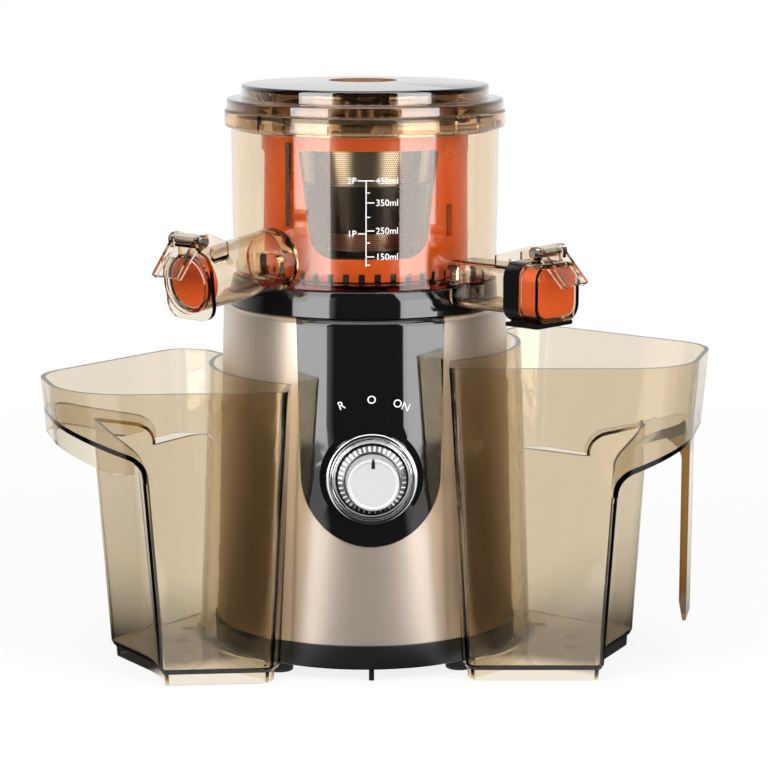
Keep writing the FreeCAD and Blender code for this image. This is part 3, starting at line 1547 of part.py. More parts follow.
NODES = {
    "base_plate": base_plate,
    "rubber_feet": rubber_feet,
    "base_screws": base_screws,
    "motor_housing": motor_housing,
    "control_panel": control_panel,
    "knob_bezel": knob_bezel,
    "rotary_switch": rotary_switch,
    "knob_skirt": knob_skirt,
    "knob_cap": knob_cap,
    "switch_spindle": switch_spindle,
    "cord_gland": cord_gland,
    "top_deck": top_deck,
    "deck_screws": deck_screws,
    "shaft_seal": shaft_seal,
    "motor_stator": motor_stator,
    "field_windings": field_windings,
    "lower_motor_bracket": lower_motor_bracket,
    "upper_motor_bracket": upper_motor_bracket,
    "motor_bearings": motor_bearings,
    "rotor_shaft": rotor_shaft,
    "rotor_core": rotor_core,
    "cooling_fan": cooling_fan,
    "gearbox_case": gearbox_case,
    "gearbox_cover": gearbox_cover,
    "gearbox_posts": gearbox_posts,
    "gearbox_screws": gearbox_screws,
    "gear_axle": gear_axle,
    "intermediate_gear": intermediate_gear,
    "output_gear": output_gear,
    "drive_shaft": drive_shaft,
    "output_bearing": output_bearing,
    "circuit_board": circuit_board,
    "run_capacitor": run_capacitor,
    "juice_bowl": juice_bowl,
    "bowl_seal": bowl_seal,
    "spout_collar": spout_collar,
    "juice_hinge_pin": lambda: to_juice_spout(hinge_pin(hinge_x_juice, hinge_z_juice)),
    "pulp_hinge_pin": lambda: to_pulp_spout(hinge_pin(hinge_x_pulp, hinge_z_pulp)),
    "juice_cap": juice_cap,
    "juice_seal": juice_seal,
    "pulp_cap": pulp_cap,
    "pulp_seal": pulp_seal,
    "strainer_frame": strainer_frame,
    "strainer_screen": strainer_screen,
    "brush_frame": brush_frame,
    "wiper_blades": wiper_blades,
    "brush_pinion": brush_pinion,
    "auger": auger,
    "lid": lid,
    "lid_bush": lid_bush,
    "lid_gasket": lid_gasket,
    "juice_cup": juice_cup,
    "pulp_cup": pulp_cup,
}

for name, make in NODES.items():
    made = make()
    solids = made if isinstance(made, list) else [made]
    solids = [s for shape in solids for s in shape.Solids]
    bad = [s for s in solids if not s.isValid() or s.Volume <= 0]
    shape = solids[0] if len(solids) == 1 else Part.makeCompound(solids)
    shape.exportStep(f"parts/{name}.step")
    print(name, len(solids), "solids", round(shape.Volume / 1000, 2), "cm3", "INVALID" if bad else "ok")
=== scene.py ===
from math import cos, pi, radians, sin

import bmesh
import bpy
from mathutils import Matrix, Vector


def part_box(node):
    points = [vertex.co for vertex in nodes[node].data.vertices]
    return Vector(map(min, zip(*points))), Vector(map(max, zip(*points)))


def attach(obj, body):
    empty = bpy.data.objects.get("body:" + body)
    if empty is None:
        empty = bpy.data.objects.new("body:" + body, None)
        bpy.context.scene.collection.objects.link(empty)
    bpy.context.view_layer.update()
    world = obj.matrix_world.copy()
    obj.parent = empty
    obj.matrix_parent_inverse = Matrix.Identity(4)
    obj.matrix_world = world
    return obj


bl_info = {
    "name": "Cold Press Juicer",
    "version": (1, 0, 0),
    "blender": (4, 5, 0),
    "location": "View3D > Sidebar > Juicer",
    "description": "Finishes and fine pieces of a cold press juicer on its packed frame",
    "category": "Add Mesh",
}

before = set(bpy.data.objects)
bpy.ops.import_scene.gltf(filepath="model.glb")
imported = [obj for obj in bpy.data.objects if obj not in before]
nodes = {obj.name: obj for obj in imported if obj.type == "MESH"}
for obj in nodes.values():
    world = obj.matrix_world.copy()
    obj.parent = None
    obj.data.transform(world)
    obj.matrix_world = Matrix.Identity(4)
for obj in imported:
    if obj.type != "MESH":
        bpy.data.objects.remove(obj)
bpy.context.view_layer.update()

# Sizes of the solids that the fine pieces follow, in metres

MM = 0.001
KNOB_Z = 101.6 * MM
BAND_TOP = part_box("motor_housing")[0][2]
HOUSING_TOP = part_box("motor_housing")[1][2]
HOUSING_FOOT_R = 76.0 * MM
HOUSING_TAPER = 4.4 * MM
PANEL_PROUD = 0.8 * MM
BOWL_LOW = 191.7 * MM
BOWL_HIGH = 267.4 * MM
BOWL_FOOT_R = 66.4 * MM
BOWL_FLARE = 1.0 * MM


def housing_radius(z):
    share = (z - BAND_TOP) / (HOUSING_TOP - BAND_TOP)
    return HOUSING_FOOT_R - HOUSING_TAPER * share


def panel_radius(z):
    return housing_radius(z) + PANEL_PROUD


def bowl_radius(z):
    share = (z - BOWL_LOW) / (BOWL_HIGH - BOWL_LOW)
    return BOWL_FOOT_R + BOWL_FLARE * share


# Settings shown in the sidebar

class JuicerColours(bpy.types.PropertyGroup):
    clear: bpy.props.FloatVectorProperty(
        name="Clear plastic", description="Tint at the faces of the clear plastic",
        subtype="COLOR", size=3, min=0, max=1, default=(1.0, 0.97, 0.925))
    cup_tint: bpy.props.FloatVectorProperty(
        name="Cup tint", description="Tint that the cups' plastic takes on as it gets thicker",
        subtype="COLOR", size=3, min=0, max=1, default=(0.73, 0.60, 0.33))
    bowl_tint: bpy.props.FloatVectorProperty(
        name="Bowl tint", description="Tint that the bowl's plastic takes on as it gets thicker",
        subtype="COLOR", size=3, min=0, max=1, default=(0.90, 0.66, 0.32))
    lid_tint: bpy.props.FloatVectorProperty(
        name="Lid tint", description="Tint that the lid's plastic takes on as it gets thicker",
        subtype="COLOR", size=3, min=0, max=1, default=(0.62, 0.40, 0.14))
    cup_depth: bpy.props.FloatProperty(
        name="Cup depth tint", description="Strength of the cups' depth tint for each metre of plastic",
        default=200.0, min=0, max=2000)
    bowl_depth: bpy.props.FloatProperty(
        name="Bowl depth tint", description="Strength of the bowl's depth tint for each metre of plastic",
        default=110.0, min=0, max=2000)
    lid_depth: bpy.props.FloatProperty(
        name="Lid depth tint", description="Strength of the lid's depth tint for each metre of plastic",
        default=140.0, min=0, max=2000)
    housing: bpy.props.FloatVectorProperty(
        name="Housing", description="Metallic lacquer of the motor housing",
        subtype="COLOR", size=3, min=0, max=1, default=(0.66, 0.55, 0.46))
    black: bpy.props.FloatVectorProperty(
        name="Black plastic", description="Panel, deck and base",
        subtype="COLOR", size=3, min=0, max=1, default=(0.004, 0.004, 0.0045))
    orange: bpy.props.FloatVectorProperty(
        name="Orange", description="Brush frame and the silicone seals",
        subtype="COLOR", size=3, min=0, max=1, default=(0.98, 0.155, 0.02))
    print_white: bpy.props.FloatVectorProperty(
        name="Print", description="Printed marks on the panel and the bowl",
        subtype="COLOR", size=3, min=0, max=1, default=(0.85, 0.85, 0.85))


class JuicerMarks(bpy.types.PropertyGroup):
    scale_cap: bpy.props.FloatProperty(
        name="Scale text", description="Text size of the bowl's volume scale",
        unit="LENGTH", default=4.5 * MM, min=0.001, precision=4)
    scale_arc: bpy.props.FloatProperty(
        name="Scale place", description="Place of the scale's upright line, along the bowl's front",
        unit="LENGTH", default=-2.4 * MM, precision=4)
    letter_cap: bpy.props.FloatProperty(
        name="Letter size", description="Text size of the knob's settings",
        unit="LENGTH", default=5.6 * MM, min=0.001, precision=4)
    letter_ring: bpy.props.FloatProperty(
        name="Letter ring", description="Distance of the settings from the knob's centre",
        unit="LENGTH", default=38.6 * MM, min=0.001, precision=4)


class JuicerStudio(bpy.types.PropertyGroup):
    distance: bpy.props.FloatProperty(
        name="Camera distance", description="From the drive axis to the camera, along the floor",
        unit="LENGTH", default=1.3943)
    height: bpy.props.FloatProperty(
        name="Camera height", description="Camera above the worktop", unit="LENGTH", default=0.3743)
    pitch: bpy.props.FloatProperty(
        name="Camera tilt", description="How far the camera looks down",
        subtype="ANGLE", unit="ROTATION", default=radians(9.724))
    turn: bpy.props.FloatProperty(
        name="Camera turn", description="How far the camera stands off the knob's side",
        subtype="ANGLE", unit="ROTATION", default=radians(2.5))
    lens: bpy.props.FloatProperty(
        name="Lens", description="Focal length in millimetres", unit="CAMERA", default=129.8)
    side_power: bpy.props.FloatProperty(
        name="Side lamps", description="Power of each of the two softboxes in front",
        unit="POWER", default=5.4, min=0)
    top_power: bpy.props.FloatProperty(
        name="Top lamp", description="Power of the softbox overhead", unit="POWER", default=15.0, min=0)


# Short ways to set up shader nodes

COLOUR_OFF, COLOUR_ON, COLOUR_OUT = 6, 7, 2  # a Mix node's sockets for colours


def link(tree, source, target):
    tree.links.new(source, target)


def feed(tree, value, socket):
    """Sets a socket to a number, or links another node's output to it."""
    if isinstance(value, (int, float)):
        socket.default_value = value
    else:
        link(tree, value, socket)


def maths(tree, operation, a, b=None):
    node = tree.nodes.new("ShaderNodeMath")
    node.operation = operation
    feed(tree, a, node.inputs[0])
    if b is not None:
        feed(tree, b, node.inputs[1])
    return node.outputs[0]


def ramp(tree, value, low, high, at_low, at_high):
    """One value turned into another between two limits."""
    node = tree.nodes.new("ShaderNodeMapRange")
    for label, number in (("From Min", low), ("From Max", high), ("To Min", at_low), ("To Max", at_high)):
        node.inputs[label].default_value = number
    link(tree, value, node.inputs["Value"])
    return node.outputs[0]


def split_place(tree, kind="Object"):
    """A point's three coordinates."""
    place = tree.nodes.new("ShaderNodeTexCoord")
    parts = tree.nodes.new("ShaderNodeSeparateXYZ")
    link(tree, place.outputs[kind], parts.inputs[0])
    return parts.outputs["X"], parts.outputs["Y"], parts.outputs["Z"]


def distance_from_axis(tree, a, b):
    square = maths(tree, "ADD", maths(tree, "MULTIPLY", a, a), maths(tree, "MULTIPLY", b, b))
    return maths(tree, "SQRT", square)


def noise(tree, place, scale, detail, along_line=False):
    """Soft noise through space, or along one line."""
    node = tree.nodes.new("ShaderNodeTexNoise")
    if along_line:
        node.noise_dimensions = "1D"
    link(tree, place, node.inputs["W" if along_line else "Vector"])
    feed(tree, scale, node.inputs["Scale"])
    node.inputs["Detail"].default_value = detail
    return node.outputs[0]


def stray(tree, middle, drawn, span):
    """A value that strays from its middle with the noise, over the whole span."""
    centred = maths(tree, "SUBTRACT", drawn, 0.5)
    return maths(tree, "ADD", middle, maths(tree, "MULTIPLY", centred, span))


def two_tone(tree, mask, off, on):
    """One colour where the mask is 0, and the other where it is 1."""
    node = tree.nodes.new("ShaderNodeMix")
    node.data_type = "RGBA"
    node.inputs[COLOUR_OFF].default_value = (*off, 1)
    node.inputs[COLOUR_ON].default_value = (*on, 1)
    link(tree, mask, node.inputs[0])
    return node.outputs[COLOUR_OUT]


def shades(colour, darker, lighter):
    return [c * darker for c in colour], [min(1.0, c * lighter) for c in colour]


# Shader groups that several finishes use

groups = {}

BROAD_SCALE = 38.0
RING_SPAN = 0.16
ROW_HEIGHT = 0.866  # of the sieve's holes, for each step between them


def new_group(name, inputs, outputs):
    group = bpy.data.node_groups.new(name, "ShaderNodeTree")
    for label, kind, value in inputs:
        socket = group.interface.new_socket(label, in_out="INPUT", socket_type=kind)
        socket.default_value = value
    for label in outputs:
        group.interface.new_socket(label, in_out="OUTPUT", socket_type="NodeSocketFloat")
    groups[name] = group
    return group, group.nodes.new("NodeGroupInput").outputs, group.nodes.new("NodeGroupOutput").inputs


def make_grain_group():
    """Fine moulded grain and faint handling marks."""
    group, given, out = new_group(
        "moulded_grain",
        [("Grain Size", "NodeSocketFloat", 1500.0), ("Roughness", "NodeSocketFloat", 0.3),
         ("Spread", "NodeSocketFloat", 0.06)],
        ["Roughness", "Height", "Marks"])
    place = group.nodes.new("ShaderNodeTexCoord").outputs["Object"]
    fine = noise(group, place, given["Grain Size"], 2.0)
    broad = noise(group, place, BROAD_SCALE, 4.0)
    span = maths(group, "MULTIPLY", given["Spread"], 2.0)
    link(group, stray(group, given["Roughness"], broad, span), out["Roughness"])
    link(group, fine, out["Height"])
    link(group, broad, out["Marks"])


def make_brushed_group():
    """Fine lines drawn along one direction; Stretch sets how close they lie on each axis."""
    group, given, out = new_group(
        "brushed_lines",
        [("Stretch", "NodeSocketVector", (60.0, 60.0, 9000.0)), ("Roughness", "NodeSocketFloat", 0.3),
         ("Spread", "NodeSocketFloat", 0.08)],
        ["Roughness", "Height"])
    place = group.nodes.new("ShaderNodeTexCoord").outputs["Object"]
    stretch = group.nodes.new("ShaderNodeVectorMath")
    stretch.operation = "MULTIPLY"
    link(group, place, stretch.inputs[0])
    link(group, given["Stretch"], stretch.inputs[1])
    lines = noise(group, stretch.outputs[0], 1.0, 3.0)
    span = maths(group, "MULTIPLY", given["Spread"], 2.0)
    link(group, stray(group, given["Roughness"], lines, span), out["Roughness"])
    link(group, lines, out["Height"])


def make_spun_group():
    """Rings turned on a lathe round an axis along Y, at a height of its own."""
    group, given, out = new_group(
        "spun_rings",
        [("Axis Height", "NodeSocketFloat", KNOB_Z), ("Rings", "NodeSocketFloat", 2600.0),
         ("Roughness", "NodeSocketFloat", 0.28)],
        ["Roughness", "Height"])
    across, _, up = split_place(group)
    reach = distance_from_axis(group, maths(group, "SUBTRACT", up, given["Axis Height"]), across)
    rings = noise(group, reach, given["Rings"], 3.0, along_line=True)
    link(group, stray(group, given["Roughness"], rings, RING_SPAN), out["Roughness"])
    link(group, rings, out["Height"])


def make_holes_group():
    """Rows of small holes round the upright axis: 1 in a hole and 0 on the sheet."""
    group, given, out = new_group(
        "sieve_holes",
        [("Radius", "NodeSocketFloat", 0.032), ("Pitch", "NodeSocketFloat", 0.00115),
         ("Hole", "NodeSocketFloat", 0.33)],
        ["Mask"])
    across, along, up = split_place(group)
    arc = maths(group, "MULTIPLY", maths(group, "ARCTAN2", along, across), given["Radius"])
    steps = maths(group, "DIVIDE", arc, given["Pitch"])
    rows = maths(group, "DIVIDE", up, maths(group, "MULTIPLY", given["Pitch"], ROW_HEIGHT))
    odd_row = maths(group, "MODULO", maths(group, "FLOOR", rows), 2.0)
    shifted = maths(group, "ADD", steps, maths(group, "MULTIPLY", odd_row, 0.5))
    u = maths(group, "SUBTRACT", maths(group, "FRACT", shifted), 0.5)
    v = maths(group, "MULTIPLY", maths(group, "SUBTRACT", maths(group, "FRACT", rows), 0.5), ROW_HEIGHT)
    inside = maths(group, "LESS_THAN", distance_from_axis(group, u, v), given["Hole"])
    link(group, inside, out["Mask"])


# Finishes

finishes = {}

GRAIN_SHADES = (0.94, 1.05)  # the darkest and the lightest, for each part of the colour
LINE_SHADES = (0.93, 1.07)
GRAIN_DEPTH = 0.1 * MM
RING_DEPTH = 0.05 * MM
FLOW_DEPTH = 0.4 * MM
FLOW_SCALE = 300.0
CLEAR_ROUGHNESS = 0.02
CLEAR_INDEX = 1.55
COAT_INDEX = 1.7
HOLE_DEPTH = 0.3 * MM
HOLE_COLOUR = (0.02, 0.015, 0.01)


def start_finish(name):
    finish = bpy.data.materials.new(name)
    finish.use_nodes = True
    finishes[name] = finish
    tree = finish.node_tree
    return tree, tree.nodes["Principled BSDF"].inputs


def add_group(tree, name, **values):
    node = tree.nodes.new("ShaderNodeGroup")
    node.node_tree = groups[name]
    for label, value in values.items():
        node.inputs[label.replace("_", " ")].default_value = value
    return node.outputs


def add_bump(tree, height, normal, strength, depth):
    bump = tree.nodes.new("ShaderNodeBump")
    bump.inputs["Strength"].default_value = strength
    bump.inputs["Distance"].default_value = depth
    link(tree, height, bump.inputs["Height"])
    link(tree, bump.outputs["Normal"], normal)


def plastic(name, colour, roughness, grain=1800.0, bump=0.05, gloss=0.5, spread=0.05):
    """Moulded plastic, silicone or rubber."""
    tree, shader = start_finish(name)
    shader["Specular IOR Level"].default_value = gloss
    grained = add_group(tree, "moulded_grain", Grain_Size=grain, Roughness=roughness, Spread=spread)
    link(tree, two_tone(tree, grained["Marks"], *shades(colour, *GRAIN_SHADES)), shader["Base Color"])
    link(tree, grained["Roughness"], shader["Roughness"])
    add_bump(tree, grained["Height"], shader["Normal"], bump, GRAIN_DEPTH)


def brushed(name, colour, roughness, stretch, bump=0.04, spread=0.06, metallic=1.0):
    """Metal or metallic lacquer with fine drawn lines."""
    tree, shader = start_finish(name)
    lined = add_group(tree, "brushed_lines", Stretch=stretch, Roughness=roughness, Spread=spread)
    link(tree, two_tone(tree, lined["Height"], *shades(colour, *LINE_SHADES)), shader["Base Color"])
    shader["Metallic"].default_value = metallic
    link(tree, lined["Roughness"], shader["Roughness"])
    add_bump(tree, lined["Height"], shader["Normal"], bump, GRAIN_DEPTH)


def spun(name, colour, roughness, rings=2600.0, bump=0.03, metallic=1.0):
    """Metal, or metallic paint, turned on a lathe round the knob's axis."""
    tree, shader = start_finish(name)
    turned = add_group(tree, "spun_rings", Rings=rings, Roughness=roughness)
    shader["Base Color"].default_value = (*colour, 1)
    shader["Metallic"].default_value = metallic
    link(tree, turned["Roughness"], shader["Roughness"])
    add_bump(tree, turned["Height"], shader["Normal"], bump, RING_DEPTH)


def clear(name, tint, depth_tint, density, coat=0.0):
    """Tinted clear plastic with faint flow marks, darker where it is thicker."""
    tree, shader = start_finish(name)
    inside = tree.nodes.new("ShaderNodeVolumeAbsorption")
    inside.inputs["Color"].default_value = (*depth_tint, 1)
    inside.inputs["Density"].default_value = density
    link(tree, inside.outputs[0], tree.nodes["Material Output"].inputs["Volume"])
    grained = add_group(tree, "moulded_grain", Grain_Size=FLOW_SCALE, Roughness=CLEAR_ROUGHNESS, Spread=0.02)
    shader["Base Color"].default_value = (*tint, 1)
    shader["Transmission Weight"].default_value = 1.0
    shader["IOR"].default_value = CLEAR_INDEX
    if coat:
        shader["Coat Weight"].default_value = coat
        shader["Coat IOR"].default_value = COAT_INDEX
    link(tree, grained["Roughness"], shader["Roughness"])
    add_bump(tree, grained["Marks"], shader["Normal"], 0.03, FLOW_DEPTH)


def sieve(name, colour):
    """Steel sheet with rows of small dark holes."""
    tree, shader = start_finish(name)
    hole = add_group(tree, "sieve_holes")["Mask"]
    sheet = maths(tree, "SUBTRACT", 1.0, hole)
    link(tree, two_tone(tree, hole, colour, HOLE_COLOUR), shader["Base Color"])
    link(tree, sheet, shader["Metallic"])
    shader["Roughness"].default_value = 0.28
    add_bump(tree, sheet, shader["Normal"], 0.6, HOLE_DEPTH)


# Smooth shading and finishes for the carried nodes

WELD_DISTANCE = 0.005 * MM
SHARP_EDGE = radians(35)


def make_smoothing():
    """Joins the loose triangles and keeps the sharp edges."""
    group = bpy.data.node_groups.new("smooth_by_edge", "GeometryNodeTree")
    groups["smooth_by_edge"] = group
    for direction in ("INPUT", "OUTPUT"):
        group.interface.new_socket("Geometry", in_out=direction, socket_type="NodeSocketGeometry")
    given = group.nodes.new("NodeGroupInput")
    out = group.nodes.new("NodeGroupOutput")
    weld = group.nodes.new("GeometryNodeMergeByDistance")
    weld.inputs["Distance"].default_value = WELD_DISTANCE
    faces = group.nodes.new("GeometryNodeSetShadeSmooth")
    faces.domain = "FACE"
    edges = group.nodes.new("GeometryNodeSetShadeSmooth")
    edges.domain = "EDGE"
    angle = group.nodes.new("GeometryNodeInputMeshEdgeAngle")
    blunt = group.nodes.new("FunctionNodeCompare")
    blunt.operation = "LESS_THAN"
    blunt.inputs[1].default_value = SHARP_EDGE
    link(group, given.outputs[0], weld.inputs["Geometry"])
    link(group, weld.outputs[0], faces.inputs["Geometry"])
    link(group, faces.outputs[0], edges.inputs["Geometry"])
    link(group, angle.outputs["Unsigned Angle"], blunt.inputs[0])
    link(group, blunt.outputs[0], edges.inputs["Shade Smooth"])
    link(group, edges.outputs[0], out.inputs[0])


def dress(table):
    """Gives carried nodes their finishes and smooth shading."""
    for name, finish in table.items():
        piece = nodes[name]
        piece.data.materials.clear()
        piece.data.materials.append(finishes[finish])
        piece.modifiers.new("smooth", "NODES").node_group = groups["smooth_by_edge"]


BODY_FINISHES = {
    "base_plate": "satin_black",
    "rubber_feet": "foot_rubber",
    "base_screws": "machined_steel",
    "motor_housing": "champagne_lacquer",
    "control_panel": "gloss_black",
    "knob_bezel": "knob_chrome",
    "rotary_switch": "dark_plastic",
    # dark skirt: painted shade between the knurl's chrome ribs
    "knob_skirt": "knurl_groove_shade",
    "knob_cap": "knob_face",
    "switch_spindle": "machined_steel",
    "cord_gland": "foot_rubber",
    "top_deck": "gloss_black",
    "deck_screws": "machined_steel",
    "shaft_seal": "foot_rubber",
}
DRIVE_FINISHES = {
    "motor_stator": "laminated_steel",
    "field_windings": "enamelled_copper",
    "lower_motor_bracket": "cast_alloy",
    "upper_motor_bracket": "cast_alloy",
    "motor_bearings": "sintered_bronze",
    "rotor_shaft": "machined_steel",
    "rotor_core": "laminated_steel",
    "cooling_fan": "nylon",
    "gearbox_case": "cast_alloy",
    "gearbox_cover": "cast_alloy",
    "gearbox_posts": "machined_steel",
    "gearbox_screws": "machined_steel",
    "gear_axle": "machined_steel",
    "intermediate_gear": "nylon",
    "output_gear": "machined_steel",
    "drive_shaft": "machined_steel",
    "output_bearing": "sintered_bronze",
    "circuit_board": "board_green",
    "run_capacitor": "cast_alloy",
}
BOWL_FINISHES = {
    "juice_bowl": "clear_bowl",
    "bowl_seal": "foot_rubber",
    "spout_collar": "gloss_black",
    "juice_hinge_pin": "machined_steel",
    "pulp_hinge_pin": "machined_steel",
    "juice_cap": "clear_cap",
    "juice_seal": "orange_seal",
    "pulp_cap": "clear_cap",
    "pulp_seal": "orange_seal",
    "strainer_frame": "dark_plastic",
    "strainer_screen": "sieve_steel",
    "brush_frame": "orange_frame",
    "wiper_blades": "grey_silicone",
    "brush_pinion": "sintered_bronze",
    "auger": "dark_plastic",
    "lid": "clear_lid",
    "lid_bush": "machined_steel",
    "lid_gasket": "grey_silicone",
    "juice_cup": "clear_cup",
    "pulp_cup": "clear_cup",
}


# Drawings for the fine pieces

PRINT_THICKNESS = 0.12 * MM
PANEL_PRINT_GAP = 0.02 * MM
BOWL_PRINT_GAP = 0.04 * MM
HALF_LINE = 0.22 * MM
TEXT_MIDDLE = 0.34  # of the text's size, above its baseline
SAME_PLACE = 1e-7
BEND_CUTS = 4


def finish_drawing(name, drawn, finish, body):
    """Makes a piece of a drawing, on its body and with its finish."""
    bmesh.ops.recalc_face_normals(drawn, faces=drawn.faces)
    mesh = bpy.data.meshes.new(name)
    drawn.to_mesh(mesh)
    drawn.free()
    piece = bpy.data.objects.new(name, mesh)
    bpy.context.scene.collection.objects.link(piece)
    piece.data.materials.append(finishes[finish])
    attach(piece, body)


def join_drawings(drawings):
    whole = bmesh.new()
    for drawn in drawings:
        mesh = bpy.data.meshes.new("part")
        drawn.to_mesh(mesh)
        drawn.free()
        whole.from_mesh(mesh)
        bpy.data.meshes.remove(mesh)
    return whole


def move(drawn, x, y, z):
    bmesh.ops.translate(drawn, vec=(x, y, z), verts=drawn.verts)


def turn_round(drawn, angle, axis):
    bmesh.ops.rotate(drawn, cent=(0, 0, 0), matrix=Matrix.Rotation(angle, 3, axis), verts=drawn.verts)


def repeat_round(drawn, axis, count):
    """Copies a drawing round an axis through the origin, evenly."""
    step = 2 * pi / count
    bmesh.ops.spin(drawn, geom=drawn.verts[:] + drawn.edges[:] + drawn.faces[:], cent=(0, 0, 0), axis=axis,
                   angle=step * (count - 1), steps=count - 1, use_duplicate=True)


def rounded_block(size, edge):
    drawn = bmesh.new()
    bmesh.ops.create_cube(drawn, size=1.0)
    bmesh.ops.scale(drawn, vec=size, verts=drawn.verts)
    bmesh.ops.bevel(drawn, geom=drawn.edges, offset=edge, segments=2, profile=0.5, affect="EDGES",
                    material=-1)
    return drawn


def flat_text(body, size, align="LEFT"):
    """Text in the XY plane, as thick as a print, with its middle on y = 0."""
    curve = bpy.data.curves.new("text", "FONT")
    curve.body = body
    curve.size = size
    curve.align_x = align
    curve.resolution_u = 3
    curve.extrude = PRINT_THICKNESS / 2
    holder = bpy.data.objects.new("text", curve)
    bpy.context.scene.collection.objects.link(holder)
    graph = bpy.context.evaluated_depsgraph_get()
    mesh = bpy.data.meshes.new_from_object(holder.evaluated_get(graph))
    drawn = bmesh.new()
    drawn.from_mesh(mesh)
    bpy.data.objects.remove(holder)
    bpy.data.curves.remove(curve)
    bpy.data.meshes.remove(mesh)
    bmesh.ops.remove_doubles(drawn, verts=drawn.verts, dist=SAME_PLACE)
    move(drawn, 0, -size * TEXT_MIDDLE, 0)
    return drawn


def flat_bar(left, right, low, high):
    """Printed bar in the XY plane, with enough cuts to follow a curved wall."""
    drawn = bmesh.new()
    bmesh.ops.create_cube(drawn, size=1.0)
    bmesh.ops.scale(drawn, vec=(right - left, high - low, PRINT_THICKNESS), verts=drawn.verts)
    move(drawn, (left + right) / 2, (low + high) / 2, 0)
    across = [e for e in drawn.edges if abs(e.verts[0].co.x - e.verts[1].co.x) > SAME_PLACE]
    bmesh.ops.subdivide_edges(drawn, edges=across, cuts=BEND_CUTS, use_grid_fill=True)
    return drawn


def lay_on_wall(drawn, radius_at, gap):
    """Bends a flat drawing round the upright axis, onto the front of a wall."""
    for vert in drawn.verts:
        arc, height, depth = vert.co
        reach = radius_at(height) + depth + gap
        angle = arc / radius_at(height)
        vert.co = (reach * sin(angle), -reach * cos(angle), height)


# Steps that build the juicer, in their order

class JUICER_OT_finishes(bpy.types.Operator):
    """Builds the shared shader groups and the finishes"""
    bl_idname = "juicer.finishes"
    bl_label = "Finishes"

    def clear_plastics(self, colours):
        tint = tuple(colours.clear)
        bowl_tint = tuple(colours.bowl_tint)
        clear("clear_bowl", tint, bowl_tint, colours.bowl_depth)
        clear("clear_cap", tint, bowl_tint, colours.bowl_depth)
        clear("clear_cup", tint, tuple(colours.cup_tint), colours.cup_depth)
        clear("clear_lid", tint, tuple(colours.lid_tint), colours.lid_depth, coat=1.0)

    def plastics(self, colours):
        black = tuple(colours.black)
        satin = tuple(c * 1.6 for c in black)
        orange = tuple(colours.orange)
        plastic("gloss_black", black, 0.05, grain=900.0, bump=0.004, gloss=0.9, spread=0.02)
        plastic("satin_black", satin, 0.38, grain=3500.0, bump=0.12)
        plastic("foot_rubber", (0.012, 0.012, 0.012), 0.62, grain=2500.0, bump=0.2)
        plastic("orange_frame", orange, 0.26, grain=1400.0, bump=0.02)
        plastic("orange_seal", orange, 0.4, grain=2200.0, bump=0.06)
        plastic("grey_silicone", (0.09, 0.08, 0.07), 0.45, grain=2200.0, bump=0.06)
        plastic("dark_plastic", (0.012, 0.01, 0.009), 0.3, grain=1400.0, bump=0.04)
        plastic("nylon", (0.75, 0.72, 0.62), 0.45)
        plastic("board_green", (0.02, 0.16, 0.05), 0.35, grain=900.0, bump=0.1)
        plastic("white_print", tuple(colours.print_white), 0.5, grain=3000.0, bump=0.02)

    def metals(self, colours):
        brushed("champagne_lacquer", tuple(colours.housing), 0.34, (70.0, 70.0, 5200.0), bump=0.1,
                spread=0.08, metallic=0.75)
        brushed("machined_steel", (0.56, 0.56, 0.58), 0.3, (900.0, 900.0, 6000.0))
        brushed("sintered_bronze", (0.6, 0.42, 0.2), 0.42, (3000.0, 3000.0, 3000.0))
        brushed("enamelled_copper", (0.72, 0.24, 0.09), 0.3, (400.0, 400.0, 9000.0))
        brushed("cast_alloy", (0.62, 0.63, 0.64), 0.5, (2200.0, 2200.0, 2200.0), bump=0.15)
        brushed("laminated_steel", (0.3, 0.3, 0.32), 0.4, (200.0, 200.0, 5000.0), bump=0.2)
        spun("knob_chrome", (0.86, 0.86, 0.87), 0.08, rings=900.0, bump=0.01)
        spun("knob_face", (0.64, 0.64, 0.635), 0.42, bump=0.05, metallic=0.35)
        # The knob skirt's dark colour between the chrome ribs is painted shade in the knurl's grooves
        spun("knurl_groove_shade", (0.16, 0.16, 0.165), 0.25, rings=900.0, bump=0.02)
        sieve("sieve_steel", (0.72, 0.66, 0.55))

    def execute(self, context):
        colours = context.scene.juicer_colours
        make_grain_group()
        make_brushed_group()
        make_spun_group()
        make_holes_group()
        make_smoothing()
        self.clear_plastics(colours)
        self.plastics(colours)
        self.metals(colours)
        return {"FINISHED"}


class JUICER_OT_body(bpy.types.Operator):
    """Dresses the base, the housing, the panel and the knob"""
    bl_idname = "juicer.body"
    bl_label = "Base and Knob"

    def execute(self, context):
        dress(BODY_FINISHES)
        return {"FINISHED"}


class JUICER_OT_drive(bpy.types.Operator):
    """Dresses the motor, the gears and the electrics"""
    bl_idname = "juicer.drive"
    bl_label = "Motor and Gears"

    def execute(self, context):
        dress(DRIVE_FINISHES)
        return {"FINISHED"}


class JUICER_OT_bowl(bpy.types.Operator):
    """Dresses the bowl, the strainer, the brush, the lid and the cups"""
    bl_idname = "juicer.bowl"
    bl_label = "Bowl and Cups"

    def execute(self, context):
        dress(BOWL_FINISHES)
        return {"FINISHED"}


POINTER_SIZE = (1.8 * MM, 1.0 * MM, 4.6 * MM)
POINTER_EDGE = 0.3 * MM
POINTER_SINK = 0.7 * MM  # its middle, behind the cap's face
POINTER_DROP = 2.9 * MM  # its middle, below the cap's top
RIB_COUNT = 40
RIB_SIZE = (2.7 * MM, 0.5 * MM, 0.95 * MM)
RIB_EDGE = 0.15 * MM
RIB_SLOPE = radians(32)
RIB_RING_R = 15.35 * MM
RIB_SINK = 0.95 * MM
# A thin dark ring in the gap round the knob's cap: painted shade
GAP_SHADE_RING_R = 13.35 * MM
GAP_SHADE_R = 0.36 * MM
GAP_SHADE_PROUD = 0.05 * MM
GAP_SHADE_SIDES = 10
GAP_SHADE_STEPS = 72


